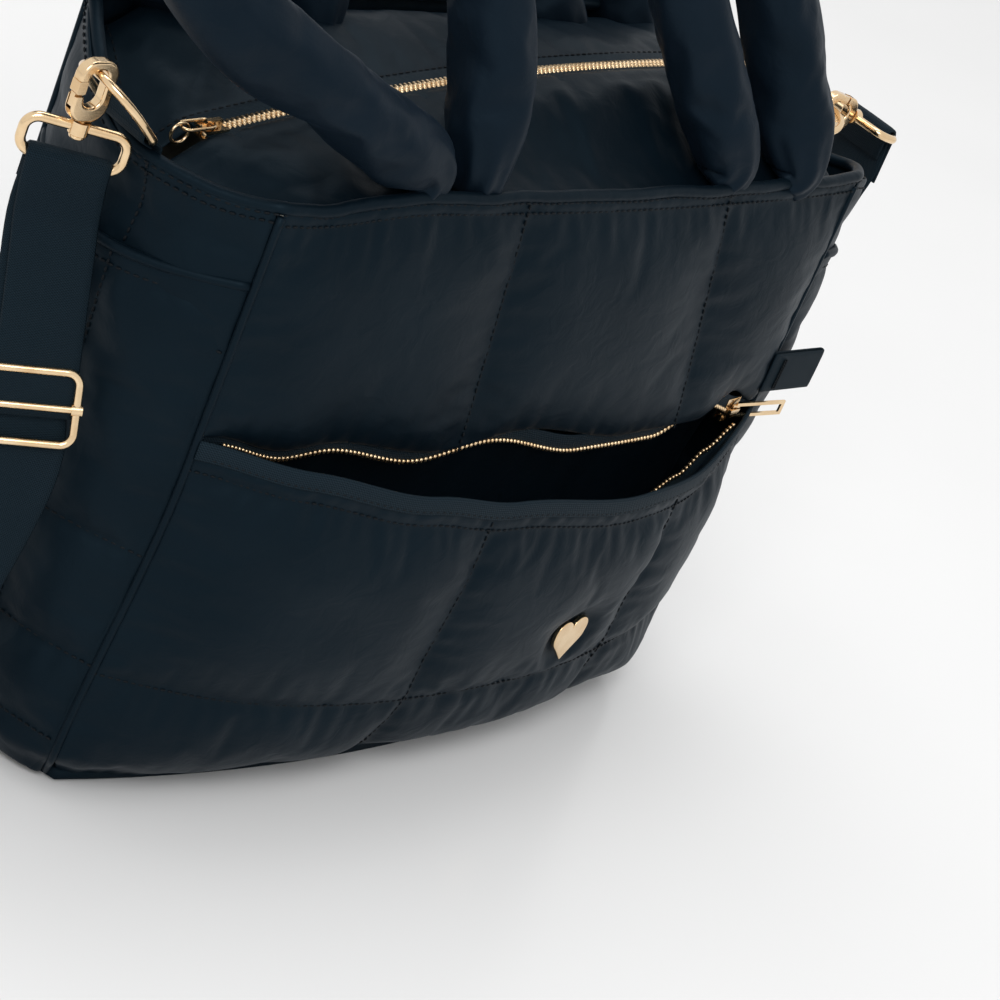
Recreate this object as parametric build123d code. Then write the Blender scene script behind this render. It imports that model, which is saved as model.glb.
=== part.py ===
from build123d import *
import os
from math import asin, atan, cos, degrees, radians, sin, sqrt

# A quilted nappy-changing tote.  Millimetres, +Z up, +X to the wearer's right,
# the front faces -Y, origin on the floor under the middle of the base.

# ---------------------------------------------------------------- driving dimensions
BAG_WIDTH = 430.0        # between the two corner seams of the front
BAG_HEIGHT = 335.0       # floor to the top of the rim
CORNER_DEPTH = 144.0     # front corner seam to rear corner seam
RIM_R = 5.0              # rolled rim binding
GUSSET_TOP = 312.0       # the side rims sag between the corners
RIM_SAG = 14.0
BASE_THICK = 3.0
BOARD_THICK = 2.5
GAP = 0.3                # air left between neighbouring soft layers

SHELL = 3.0              # outer nylon with its quilt backing
LINING = 1.0
WADDING = 7.0
UPPER_WADDING = 21.6     # fills out to the depth of the front pocket
POCKET_CAVITY = 14.0     # room inside the front zip pocket
SIDE_POCKET_THICK = 4.0
SIDE_POCKET_TOP = 285.0

ZIP_LINE = 193.0         # height of the front pocket's upper zip row
MOUTH = 9.5              # clear height between the pocket's two zip rows
TAPE_THICK = 0.8
TOOTH_PITCH = 4.0
TOOTH = 2.5
ZIP_HALF = 190.0         # half length of the top zip
POCKET_ZIP_HALF = 200.0  # half length of the front pocket's zip

CLOSURE_Z = 342.0        # height of the middle of the top closure's zip tape
CLOSURE_TILT = 5.5       # the closure falls towards its open left end
CLOSURE_HALF = 195.0

HANDLE_R = 20.0
HANDLE_FOOT_Y = 66.0
HANDLE_FOOT_Z = 357.0
REAR_LEAN = 15.0         # the rear handles lean this much further back than the front ones

WEBBING = 38.0
WEB_THICK = 2.4
RING_WIRE_R = 2.0
RING_DEPTH = 34.0
RING_BAR_X = 236.0
RING_BAR_Z = 330.5
LEFT_RING_LEAN = 42.0    # above the horizontal, outwards
RIGHT_RING_LEAN = 10.0
EYE_WIRE_R = 2.4
EYE_LENGTH = 46.0
EYE_HEIGHT = 17.0
EYE_TURN = 58.0          # the left eye faces more to the front than to the side
HANG_LEAN = 0.29         # the left end of the strap swings forward this much for each mm down
HOOK_THICK = 6.0
RUNNING = 0.08           # radial play of the small pivots
BADGE = 28.0

# ---------------------------------------------------------------- walls
# A wall is (half span, distance of its corners, bow at the floor, bow at the rim).
HALF_W = BAG_WIDTH / 2
HALF_D = CORNER_DEPTH / 2
FRONT = (HALF_W, HALF_D, 28.0, 10.0)
POCKET_FRONT = (HALF_W, HALF_D, 46.0, 56.0)   # the filled pocket stands out well beyond the front
BACK = (HALF_W, HALF_D, 24.0, 10.0)
SIDE = (HALF_D, HALF_W, 4.0, 24.0)
SIDE_POCKET = (HALF_D - 2, HALF_W + 1, 14.0, 27.0)
TURN = {"front": 0, "back": 180, "left": -90, "right": 90}

PANEL_TOP = BAG_HEIGHT - 2 * RIM_R + 2.0
SIDE_INNER = SHELL + WADDING + LINING + 3 * GAP
INNER_HALF_W = HALF_W - SIDE_INNER - 0.6
SIDE_HALF = HALF_D - SHELL - 0.5


def bow_at(wall, z):
    """How far the wall stands out beyond its corners at height z."""
    return wall[2] + (wall[3] - wall[2]) * z / BAG_HEIGHT


def wall_radius(wall, z):
    bow = bow_at(wall, z)
    return (wall[0] ** 2 + bow ** 2) / (2 * bow)


def wall_y(wall, x, z, inset=0.0):
    """Y of a front-facing wall at x and z, measured inset inwards from its outside."""
    radius = wall_radius(wall, z)
    centre = radius - wall[1] - bow_at(wall, z)
    return centre - sqrt((radius - inset) ** 2 - x * x)


def strip(wall, inset, thickness, z, half):
    """Plan section of one layer of a wall: two concentric arcs joined at their ends."""
    outer = [(x, wall_y(wall, x, z, inset)) for x in (-half, 0, half)]
    inner = [(x, wall_y(wall, x, z, inset + thickness)) for x in (half, 0, -half)]
    ends = [Line(outer[2], inner[0]), Line(inner[2], outer[0])]
    return Pos(0, 0, z) * make_face([ThreePointArc(*outer), ends[0], ThreePointArc(*inner), ends[1]])


def layer(wall, inset, thickness, bottom, top, half, side="front"):
    """One upright layer of a wall, turned to its side of the bag."""
    slab = loft([strip(wall, inset, thickness, bottom, half), strip(wall, inset, thickness, top, half)])
    return Rot(Z=TURN[side]) * slab


def save(node, shape):
    """Write one node; loose solids of one node go in as a group."""
    solids = shape.solids() if hasattr(shape, "solids") else [s for part in shape for s in part.solids()]
    body = solids[0] if len(solids) == 1 else Compound(children=list(solids))
    body.label = node
    export_step(body, f"parts/{node}.step")


# ---------------------------------------------------------------- soft body
UPPER_BOTTOM = ZIP_LINE + 7.0
LOWER_TOP = ZIP_LINE - 21.0
FLOOR_GAP = BASE_THICK + BOARD_THICK + 2 * GAP
POCKET_LINING_IN = SHELL + WADDING + 2 * GAP
POCKET_BACK_IN = POCKET_LINING_IN + LINING + POCKET_CAVITY
FRONT_LINING_IN = POCKET_BACK_IN + LINING + GAP


def between_walls(outer_inset, inner_inset, bottom, top, half):
    """Everything between the pocket's front wall and the upper front wall."""
    faces = []
    for z in (bottom, top):
        outer = [(x, wall_y(POCKET_FRONT, x, z, outer_inset)) for x in (-half, 0, half)]
        inner = [(x, wall_y(FRONT, x, z, inner_inset)) for x in (half, 0, -half)]
        ends = [Line(outer[2], inner[0]), Line(inner[2], outer[0])]
        section = make_face([ThreePointArc(*outer), ends[0], ThreePointArc(*inner), ends[1]])
        faces.append(Pos(0, 0, z) * section)
    return loft(faces)


def front_pocket_lining():
    """Open-topped flat bag: a short front sheet, a floor and a back sheet up to the rim."""
    floor_z = 20.0
    half = INNER_HALF_W - 1
    whole = between_walls(POCKET_LINING_IN, POCKET_BACK_IN + LINING, floor_z, PANEL_TOP, half)
    room = between_walls(POCKET_LINING_IN + LINING, POCKET_BACK_IN, floor_z + LINING, PANEL_TOP + 1, half + 1)
    above = between_walls(POCKET_LINING_IN - 1, POCKET_BACK_IN, LOWER_TOP - 2, PANEL_TOP + 1, half + 1)
    return whole - room - above


def block_behind(wall, inset, bottom, top, half, depth):
    """Everything between a wall surface and a flat plane depth behind its corners."""
    faces = []
    for z in (bottom, top):
        arc = [(x, wall_y(wall, x, z, inset)) for x in (-half, 0, half)]
        back = -wall[1] + depth
        outline = Polyline(arc[2], (half, back), (-half, back), arc[0])
        faces.append(Pos(0, 0, z) * make_face([ThreePointArc(*arc), outline]))
    return loft(faces)


def side_pocket(side):
    """Padded patch pocket bowed out from the gusset, closed at its ends and floor."""
    half = SIDE_POCKET[0]
    low = 6.0
    floor_top = 10.0
    whole = block_behind(SIDE_POCKET, 0, low, SIDE_POCKET_TOP, half, 10)
    room = block_behind(SIDE_POCKET, SIDE_POCKET_THICK, floor_top, SIDE_POCKET_TOP + 1, half - 4, 12)
    gusset = block_behind(SIDE, -GAP, low - 1, SIDE_POCKET_TOP + 2, half + 1, 14)
    return Rot(Z=TURN[side]) * (whole - room - gusset)


def base_plate(z, thickness, margin):
    """Floor-shaped plate: the plan of the four walls drawn in by margin."""
    half_x = HALF_W - margin
    half_y = HALF_D - margin
    front = ThreePointArc((-half_x, -half_y), (0, -half_y - POCKET_FRONT[2] * 0.7), (half_x, -half_y))
    right = ThreePointArc((half_x, -half_y), (half_x + SIDE[2] * 0.5, 0), (half_x, half_y))
    back = ThreePointArc((half_x, half_y), (0, half_y + BACK[2] * 0.55), (-half_x, half_y))
    left = ThreePointArc((-half_x, half_y), (-half_x - SIDE[2] * 0.5, 0), (-half_x, -half_y))
    return extrude(Pos(0, 0, z) * make_face([front, right, back, left]), thickness)


def rim_binding():
    """Rolled binding round the mouth in four lengths; it sags between the corners on both sides."""
    z = BAG_HEIGHT - RIM_R + 3.0
    end_x = 0.955 * HALF_W
    side_x = HALF_W + SIDE[3] - RIM_R
    arcs = []
    for wall, sign in ((FRONT, 1), (BACK, -1)):
        arcs.append([(x, sign * wall_y(wall, x, z, RIM_R), z) for x in (-end_x, 0, end_x)])
    for sign in (-1, 1):
        x = sign * (end_x + 1.4 * RIM_R)
        y = HALF_D - 2 * RIM_R
        arcs.append([(x, -y, z), (sign * side_x, 0, z - RIM_SAG), (x, y, z)])
    paths = [ThreePointArc(*spots) for spots in arcs]
    return [sweep((path ^ 0) * Circle(RIM_R), path) for path in paths]


def closure_wing(sign):
    """Fabric wing of the top closure, rising from the lining to the zip."""
    inner_y = 12.0
    outer_y = 44.0
    outline = [
        (sign * outer_y, CLOSURE_Z - 25),
        (sign * inner_y, CLOSURE_Z - 2),
        (sign * inner_y, CLOSURE_Z - 0.4),
        (sign * outer_y, CLOSURE_Z - 23.4),
    ]
    face = make_face(Polyline(*outline, close=True))
    return extrude(Plane.YZ * face, CLOSURE_HALF, both=True)


# ---------------------------------------------------------------- zips
def on_front(wall, x, z, inset):
    """A place on a front wall: its X runs along the wall and its -Y faces outwards."""
    radius = wall_radius(wall, z) - inset
    centre = wall_radius(wall, z) - wall[1] - bow_at(wall, z)
    angle = asin(x / radius)
    return Pos(radius * sin(angle), centre - radius * cos(angle), z) * Rot(Z=degrees(angle))


ZIP_INSET = SHELL + GAP + TAPE_THICK / 2
UPPER_ROW_BOTTOM = ZIP_LINE - 0.1 - TOOTH
LOWER_ROW_TOP = UPPER_ROW_BOTTOM - MOUTH
TAPE_WIDTH = 12.0


def pocket_tape(lower):
    """Woven tape of the pocket zip, sewn behind the edge of its panel."""
    low = LOWER_ROW_TOP - TOOTH - 0.1 - TAPE_WIDTH if lower else ZIP_LINE
    wall = POCKET_FRONT if lower else FRONT
    inset = ZIP_INSET - TAPE_THICK / 2
    return layer(wall, inset, TAPE_THICK, low, low + TAPE_WIDTH, POCKET_ZIP_HALF + 5)


def pocket_teeth(lower):
    """One row of metal teeth along the edge of a pocket tape."""
    z = LOWER_ROW_TOP - TOOTH / 2 if lower else UPPER_ROW_BOTTOM + TOOTH / 2
    wall = POCKET_FRONT if lower else FRONT
    count = int(2 * POCKET_ZIP_HALF / TOOTH_PITCH)
    tooth = Box(TOOTH_PITCH / 2, TOOTH, TOOTH)
    first = -POCKET_ZIP_HALF + TOOTH_PITCH / 2
    return [on_front(wall, first + i * TOOTH_PITCH, z, ZIP_INSET) * tooth for i in range(count)]


SLIDER_LENGTH = 13.0
PLATE = 1.1
LIP = 1.2
TOOTH_ROOM = 0.3         # air between the teeth and the slider's plates
TAPE_ROOM = 1.15         # from the middle of the tape to the slider's lips
BRIDGE_GAP = 2.2
PULL_R = 0.7


def slider_body(top, bottom, post_z):
    """Zip slider seen from the front (-Y): two plates, a post, flanges and a bridge."""
    face_y = TOOTH / 2 + TOOTH_ROOM + PLATE / 2
    height = top - bottom
    middle = (top + bottom) / 2
    front = Pos(0, -face_y, middle) * Box(SLIDER_LENGTH, PLATE, height)
    rear = Pos(0, face_y, middle) * Box(SLIDER_LENGTH, PLATE, height)
    post = Pos(SLIDER_LENGTH / 2 - 2, 0, post_z) * Box(4, 2 * face_y, LIP)
    body = front + rear + post
    lip = face_y - TAPE_ROOM
    for y in (-1, 1):
        for z in (top - LIP / 2, bottom + LIP / 2):
            body += Pos(0, y * (TAPE_ROOM + lip / 2), z) * Box(SLIDER_LENGTH, lip, LIP)
    outside = -face_y - PLATE / 2
    arch = Pos(0, outside - BRIDGE_GAP / 2 - 0.5, middle) * Box(9, BRIDGE_GAP + 1, 2.6)
    window = Pos(0, outside - BRIDGE_GAP / 2, middle) * Box(6, BRIDGE_GAP, 4)
    return body + (arch - window)


def slider_pivot_y():
    """Distance in front of the zip of the pin that a puller turns on."""
    return TOOTH / 2 + TOOTH_ROOM + PLATE + BRIDGE_GAP / 2


def wire_loop(length, width, wire_r):
    """Rounded rectangular wire in the XZ plane whose left bar lies on the Z axis."""
    corner = min(length, width) * 0.42
    outline = RectangleRounded(length, width, corner)
    path = (Plane.XZ * Pos(length / 2, 0) * outline).wire()
    return sweep((path ^ 0) * Circle(wire_r), path)


POCKET_SLIDER_X = POCKET_ZIP_HALF - 7.0
POCKET_SLIDER_Z = ZIP_LINE - 4.0
PULL_TILT = 12.0
PULL_LENGTH = 40.0


def pocket_puller():
    """Long open rectangular puller: a flat frame on a round pin."""
    width = 9.0
    frame = Pos(PULL_LENGTH / 2 + 2, 0, 0) * Box(PULL_LENGTH, 1.4, width)
    window = Pos(PULL_LENGTH / 2 + 2, 0, 0) * Box(PULL_LENGTH - 5, 4, width - 4)
    mouth = Pos(2.6, 0, 0) * Box(5.2, 4, 3.4)
    pin = Cylinder(PULL_R, 4.0)
    arms = [Pos(1.6, 0, z) * Box(4.4, 1.2, 1.2) for z in (-2.6, 2.6)]
    return (frame - window - mouth) + arms[0] + arms[1] + pin


def place_on_zip(shape, x=POCKET_SLIDER_X):
    return on_front(FRONT, x, POCKET_SLIDER_Z, ZIP_INSET) * shape


# The top zip runs along X with its face upwards, then tilts with the whole closure.
FACE_UP = Rot(X=-90)
MAIN_SLIDER_X = -ZIP_HALF + 4.0


def tilted(shape):
    """Tilt a part of the top closure about the closure's middle."""
    turn = Pos(0, 0, CLOSURE_Z) * Rot(Y=-CLOSURE_TILT) * Pos(0, 0, -CLOSURE_Z)
    if isinstance(shape, list):
        return [turn * part for part in shape]
    return turn * shape


ROW_GAP = 0.9


def main_tape(sign):
    inner = ROW_GAP + TOOTH + 0.1
    outer = inner + TAPE_WIDTH
    middle = Pos(0, sign * (inner + outer) / 2, CLOSURE_Z + TAPE_THICK / 2)
    return middle * Box(2 * ZIP_HALF + 8, TAPE_WIDTH, TAPE_THICK)


def main_teeth(sign):
    count = int((2 * ZIP_HALF - 4) / TOOTH_PITCH)
    tooth = Box(TOOTH_PITCH / 2, TOOTH, TOOTH)
    y = sign * (ROW_GAP + TOOTH / 2)
    z = CLOSURE_Z + TAPE_THICK / 2
    return [Pos(-ZIP_HALF + 4 + i * TOOTH_PITCH, y, z) * tooth for i in range(count)]


def on_main_zip(shape, x=MAIN_SLIDER_X):
    """Stand a front-facing zip part on the top zip, its face upwards, its nose to -X."""
    return Pos(x, 0, CLOSURE_Z + TAPE_THICK / 2) * Rot(Z=180) * FACE_UP * shape


LINK_LENGTH = 18.0
LINK_WIDTH = 8.0
LINK_R = 0.8
RING_R = 5.0


def main_link():
    """Wire link under the slider's bridge, lying out towards -X."""
    z = CLOSURE_Z + TAPE_THICK / 2 + slider_pivot_y()
    return Pos(MAIN_SLIDER_X, 0, z) * Rot(Z=180) * Rot(X=90) * wire_loop(LINK_LENGTH, LINK_WIDTH, LINK_R)


def main_ring():
    """Small drop ring threaded through the far end of the puller link."""
    drop = RING_R - 2 * LINK_R - 0.15
    x = MAIN_SLIDER_X - LINK_LENGTH
    z = CLOSURE_Z + TAPE_THICK / 2 + slider_pivot_y() - drop
    return Pos(x, 0, z) * Rot(X=90) * Torus(RING_R, LINK_R)


# ---------------------------------------------------------------- handles
# Centre lines as (x, back, up) from the middle of the two feet.  The outer handle
# flops sideways over the left gusset, the inner one stands nearly upright.
OUTER_HANDLE = [
    (-121, 0, 0), (-188, 8, 17), (-240, 24, 44), (-272, 52, 98), (-246, 84, 165),
    (-146, 100, 205), (-6, 100, 210), (80, 78, 160), (118, 42, 86), (158, 0, 0),
]
INNER_HANDLE = [
    (-80, 0, 0), (-84, 13, 34), (-92, 34, 84), (-84, 60, 134), (-44, 78, 160),
    (0, 74, 150), (32, 52, 106), (60, 26, 54), (100, 0, 0),
]
OUTER_ENDS = ((-0.93, 0.1, 0.25), (0.3, -0.5, -0.8))
INNER_ENDS = ((0, 0.3, 1), (0.5, -0.45, -0.75))


def handle(points, ends, sign, lean):
    """Padded tube handle: a floppy arch hinged at its two feet, which are balls."""
    path = Spline(*points, tangents=ends)
    tube = sweep((path ^ 0) * Circle(HANDLE_R), path)
    for foot in (points[0], points[-1]):
        tube += Pos(*foot) * Sphere(HANDLE_R - 0.5)
    return Pos(0, sign * HANDLE_FOOT_Y, HANDLE_FOOT_Z) * Rot(X=-lean) * tube


# ---------------------------------------------------------------- side hardware
def ring_tab(sign):
    """Webbing tab sewn inside the gusset; its rolled head carries the D-ring's bar."""
    low = GUSSET_TOP - 24
    inner_x = HALF_W + bow_at(SIDE, low) - SIDE_INNER - 2.4
    head = Pos(RING_BAR_X, RING_BAR_Z) * Circle(4.2)
    leg = make_face(Polyline((inner_x - 3, low), (inner_x, low), (inner_x + 1, GUSSET_TOP + 12),
                             (RING_BAR_X + 1, RING_BAR_Z - 3.6), (RING_BAR_X - 3, RING_BAR_Z + 2.6),
                             (inner_x - 2, GUSSET_TOP + 15), close=True))
    bore = Pos(RING_BAR_X, RING_BAR_Z) * Circle(RING_WIRE_R + RUNNING)
    profile = head + leg - bore
    tab = extrude(Plane.XZ * profile, 17.5, both=True)
    return tab if sign > 0 else mirror(tab, about=Plane.YZ)


def d_ring(lean):
    """D-ring: straight bar on the Y axis, bow reaching RING_DEPTH along +X, leaned up."""
    half = WEBBING / 2 + RING_WIRE_R
    straight = RING_DEPTH - half
    outline = make_face([
        Line((0, -half), (0, half)),
        Line((0, half), (straight, half)),
        ThreePointArc((straight, half), (RING_DEPTH, 0), (straight, -half)),
        Line((straight, -half), (0, -half)),
    ])
    outline = fillet(outline.vertices().filter_by(lambda v: v.X < 1), 3.0)
    path = outline.face().outer_wire()
    ring = sweep((path ^ 0) * Circle(RING_WIRE_R), path)
    return Rot(Y=-lean) * ring


def ring_tip(lean):
    """Centre of the D-ring's wire at its outermost point, on the +X side of the bag."""
    a = radians(lean)
    return RING_BAR_X + RING_DEPTH * cos(a), RING_BAR_Z + RING_DEPTH * sin(a)


# Snap hook: drawn hanging in the XZ plane with the D-ring's wire at the origin,
# its gate on the +X side.
HOOK_W = 20.0
HOOK_TOP = 6.6
HOOK_BOTTOM = -23.0
THROAT_TOP = 2.2
THROAT_BOTTOM = -16.0
THROAT_W = 10.0
GATE_TOP = -3.0
GATE_FOOT = -10.6
GATE_PIVOT = (7.4, -13.6)
GATE_TONGUE = 3.0
COLLAR_TOP = -23.4
COLLAR_BOTTOM = -29.4
STEM_R = 2.0
EYE_Z = (COLLAR_TOP + COLLAR_BOTTOM) / 2


def hook_body():
    middle = (HOOK_TOP + HOOK_BOTTOM) / 2
    outer = Pos(0, middle) * RectangleRounded(HOOK_W, HOOK_TOP - HOOK_BOTTOM, 8.0)
    throat_mid = (THROAT_TOP + THROAT_BOTTOM) / 2
    throat = Pos(0, throat_mid) * RectangleRounded(THROAT_W, THROAT_TOP - THROAT_BOTTOM, 4.6)
    frame = extrude(Plane.XZ * (outer - throat), HOOK_THICK / 2, both=True)
    frame = fillet(frame.faces().sort_by(Axis.Y)[0].edges(), 1.2)
    frame = fillet(frame.faces().sort_by(Axis.Y)[-1].edges(), 1.2)
    side = HOOK_W - THROAT_W + 1
    gap = Pos(HOOK_W / 2, 0, (GATE_TOP + GATE_FOOT) / 2) * Box(side, HOOK_THICK + 1, GATE_TOP - GATE_FOOT)
    pocket = Pos(HOOK_W / 2, 0, GATE_PIVOT[1]) * Box(side, GATE_TONGUE + 0.6, 7.0)
    bore = Pos(GATE_PIVOT[0], 0, GATE_PIVOT[1]) * Rot(X=90) * Cylinder(0.9 + RUNNING, HOOK_THICK + 1)
    stem = Pos(0, 0, (HOOK_BOTTOM + COLLAR_BOTTOM) / 2) * Cylinder(STEM_R, HOOK_BOTTOM - COLLAR_BOTTOM + 1)
    head = Pos(0, 0, COLLAR_BOTTOM - 1.3) * Cylinder(3.6, 2.0)
    head = fillet(head.edges().filter_by(GeomType.CIRCLE), 0.8)
    return frame - gap - pocket - bore + stem + head


def hook_gate():
    """Sprung gate with a tongue between the hook's ears and a cross pin."""
    half_width = (HOOK_W - THROAT_W) / 4
    bar_top = GATE_TOP - 0.25
    bar_bottom = GATE_FOOT + 1.2
    bar = Pos(HOOK_W / 2 - half_width, 0, (bar_top + bar_bottom) / 2)
    bar = bar * Box(2 * half_width - 0.4, HOOK_THICK - 0.4, bar_top - bar_bottom)
    tongue_bottom = GATE_PIVOT[1] - 2.0
    tongue = Pos(HOOK_W / 2 - half_width, 0, (bar_bottom + tongue_bottom) / 2)
    tongue = tongue * Box(2 * half_width - 0.8, GATE_TONGUE, bar_bottom - tongue_bottom + 0.2)
    pin = Pos(GATE_PIVOT[0], 0, GATE_PIVOT[1]) * Rot(X=90) * Cylinder(0.9, HOOK_THICK)
    return fillet(bar.edges().filter_by(Axis.Y), 0.8) + tongue + pin


def swivel_eye():
    """Wide oval wire eye for the webbing with a bored collar for the hook's stem."""
    width = EYE_LENGTH
    outline = Pos(0, EYE_Z - EYE_HEIGHT / 2) * RectangleRounded(width, EYE_HEIGHT, 6.5)
    path = (Plane.YZ * outline).wire()
    loop = sweep((path ^ 0) * Circle(EYE_WIRE_R), path)
    collar = Pos(0, 0, EYE_Z) * Cylinder(4.6, COLLAR_TOP - COLLAR_BOTTOM)
    bore = Pos(0, 0, EYE_Z) * Cylinder(STEM_R + RUNNING, 20)
    return loop + collar - bore


EYE_BAR_Z = EYE_Z - EYE_HEIGHT
LOOP_DROP = 26.0


def strap_end(turn):
    """Webbing folded round the eye's lower bar and sewn to itself below it."""
    head = Circle(EYE_WIRE_R + 0.4 + WEB_THICK / 2)
    tail = Pos(0, -LOOP_DROP / 2) * Rectangle(WEB_THICK + 0.8, LOOP_DROP)
    bore = Circle(EYE_WIRE_R + 0.35)
    profile = head + tail - bore
    band = extrude(Plane.XZ * profile, WEBBING / 2 - 0.8, both=True)
    return Pos(0, 0, EYE_BAR_Z) * Rot(Y=turn) * band


LEFT_TIP = ring_tip(LEFT_RING_LEAN)
RIGHT_TIP = ring_tip(RIGHT_RING_LEAN)
RIGHT_HOOK_TILT = 78.0   # from hanging, the right hook is drawn out level over the rim


def to_left(shape):
    """Place a hanging part, drawn with +X outwards, on the left ring's tip."""
    return Pos(-LEFT_TIP[0], 0, LEFT_TIP[1]) * mirror(shape, about=Plane.YZ)


def to_right(shape):
    return Pos(RIGHT_TIP[0], 0, RIGHT_TIP[1]) * Rot(Y=-RIGHT_HOOK_TILT) * shape


def faced(shape):
    """Turn the left eye and its strap about the hanging axis."""
    return Rot(Z=-EYE_TURN) * shape


# ---------------------------------------------------------------- shoulder strap
STRAP_GAP = 5.0          # the strap's closed loop is opened below each short end
LEFT_STRAP_TOP = LEFT_TIP[1] + EYE_BAR_Z - LOOP_DROP - STRAP_GAP


def hanging(z):
    """A place on the straight left end of the strap, which swings forward as it hangs."""
    return (-LEFT_TIP[0], -HANG_LEAN * (LEFT_STRAP_TOP - z), z)


def strap_path():
    """Centre line: down outside the left gusset, round behind the bag, up to the right eye."""
    left_x = -LEFT_TIP[0]
    a = radians(RIGHT_HOOK_TILT)
    right_x = RIGHT_TIP[0] - EYE_BAR_Z * sin(a)
    right_top = RIGHT_TIP[1] + EYE_BAR_Z * cos(a) - LOOP_DROP - STRAP_GAP
    floor_z = WEB_THICK / 2 + 0.2
    points = [
        hanging(LEFT_STRAP_TOP),
        hanging(240),
        hanging(200),
        hanging(160),
        hanging(120),
        (left_x - 8, -54, 70),
        (left_x - 32, -40, 22),
        (left_x - 50, 30, floor_z),
        (left_x + 10, 165, floor_z),
        (0, 215, floor_z),
        (170, 190, floor_z),
        (250, 150, 36),
        (right_x - 18, 90, 130),
        (right_x - 2, 18, 235),
        (right_x, 0, right_top),
    ]
    return Spline(*points, tangents=((0, -HANG_LEAN, -1), (0, 0, 1)))


STRAP_STEPS = 64
HANG_UNTIL = 0.135       # share of the strap that hangs at each end
FLAT_FROM = 0.255        # share from each end where it has turned to lie flat


def strap_across(tangent, t):
    """Width direction of the webbing at share t: set by the eyes where it hangs, level where it lies."""
    turn = radians(EYE_TURN)
    upright = Vector(-sin(turn), cos(turn), 0) if t < 0.5 else Vector(0, -1, 0)
    flat = Vector(0, 0, 1).cross(tangent)
    flat = flat.normalized() * -1 if flat.length > 0.2 else upright
    hang = (FLAT_FROM - min(t, 1 - t)) / (FLAT_FROM - HANG_UNTIL)
    hang = min(1.0, max(0.0, hang))
    hang = hang * hang * (3 - 2 * hang)
    across = upright * hang + flat * (1 - hang)
    return (across - tangent * across.dot(tangent)).normalized()


def strap_webbing():
    """Long webbing lofted through many cross sections, flat on the floor behind the bag."""
    path = strap_path()
    sections = []
    for i in range(STRAP_STEPS + 1):
        t = i / STRAP_STEPS
        tangent = path % t
        plane = Plane(origin=path @ t, x_dir=strap_across(tangent, t), z_dir=tangent)
        sections.append(plane * Rectangle(WEBBING, WEB_THICK))
    return loft(sections, ruled=True)


STRAP_SLIDER_Z = 199.0


def strap_slider():
    """Three-bar wire slider standing in front of the webbing it grips."""
    frame_w = WEBBING + 8
    frame_h = 34.0
    outline = RectangleRounded(frame_w, frame_h, 6.0)
    path = (Plane.YZ * outline).wire()
    frame = sweep((path ^ 0) * Circle(2.0), path)
    bar = Rot(X=90) * Cylinder(1.8, frame_w)
    collars = [Pos(0, s * frame_w / 2, 0) * Rot(X=90) * Cylinder(2.8, 5.0) for s in (-1, 1)]
    clear = WEB_THICK / 2 + 3.2
    piece = Pos(clear, 0, 0) * (frame + bar + collars[0] + collars[1])
    piece = mirror(faced(piece), about=Plane.YZ)
    return Pos(*hanging(STRAP_SLIDER_Z)) * Rot(X=-degrees(atan(HANG_LEAN))) * piece


# ---------------------------------------------------------------- trims
def side_tab():
    """Folded ribbed webbing tab on the right front corner seam beside the zip's end."""
    x = HALF_W + 15
    y = wall_y(FRONT, HALF_W - 9, ZIP_LINE + 20) - 2.4
    tab = Pos(x, y, ZIP_LINE + 20) * Box(44, 2.6, 25)
    return fillet(tab.edges().filter_by(Axis.Y), 2.0)


def heart_badge():
    """Plain heart plate standing just off the quilted pocket panel."""
    x = 76.0
    z = 82.0
    s = BADGE / 2
    lobe = ThreePointArc((0, s * 0.5), (s * 0.62, s * 0.86), (s, s * 0.25))
    flank = Spline((s, s * 0.25), (s * 0.62, -s * 0.4), (0, -s), tangents=((0, -1), (-0.6, -0.6)))
    half = [lobe, flank]
    other = [mirror(edge, about=Plane.YZ) for edge in half]
    plate = extrude(Plane.XZ * make_face(half + other), 1.2, both=True)
    plate = fillet(plate.faces().sort_by(Axis.Y)[0].edges(), 0.7)
    return on_front(POCKET_FRONT, x, z, -2.7) * plate


# ---------------------------------------------------------------- write the nodes
def write_wall(name, wall, side, half, top):
    """Wadding and lining behind one wall's outer panel."""
    low = FLOOR_GAP + 3
    inset = SHELL + GAP
    save(f"{name}_wadding", layer(wall, inset, WADDING, low, top - 2, half, side))
    inset += WADDING + GAP
    save(f"{name}_lining", layer(wall, inset, LINING, low, top, half, side))


def write_front():
    upper = layer(FRONT, SHELL + GAP, UPPER_WADDING, UPPER_BOTTOM + 8, PANEL_TOP - 2, INNER_HALF_W)
    lower = layer(POCKET_FRONT, SHELL + GAP, WADDING, FLOOR_GAP + 3, LOWER_TOP - 14, INNER_HALF_W)
    lining = layer(FRONT, FRONT_LINING_IN, LINING, FLOOR_GAP + 3, PANEL_TOP, INNER_HALF_W)
    save("front_upper_panel", layer(FRONT, 0, SHELL, UPPER_BOTTOM, PANEL_TOP, HALF_W))
    save("front_pocket_panel", layer(POCKET_FRONT, 0, SHELL, FLOOR_GAP, LOWER_TOP, HALF_W))
    save("front_upper_wadding", upper)
    save("front_pocket_wadding", lower)
    save("front_pocket_lining", front_pocket_lining())
    save("front_lining", lining)


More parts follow.
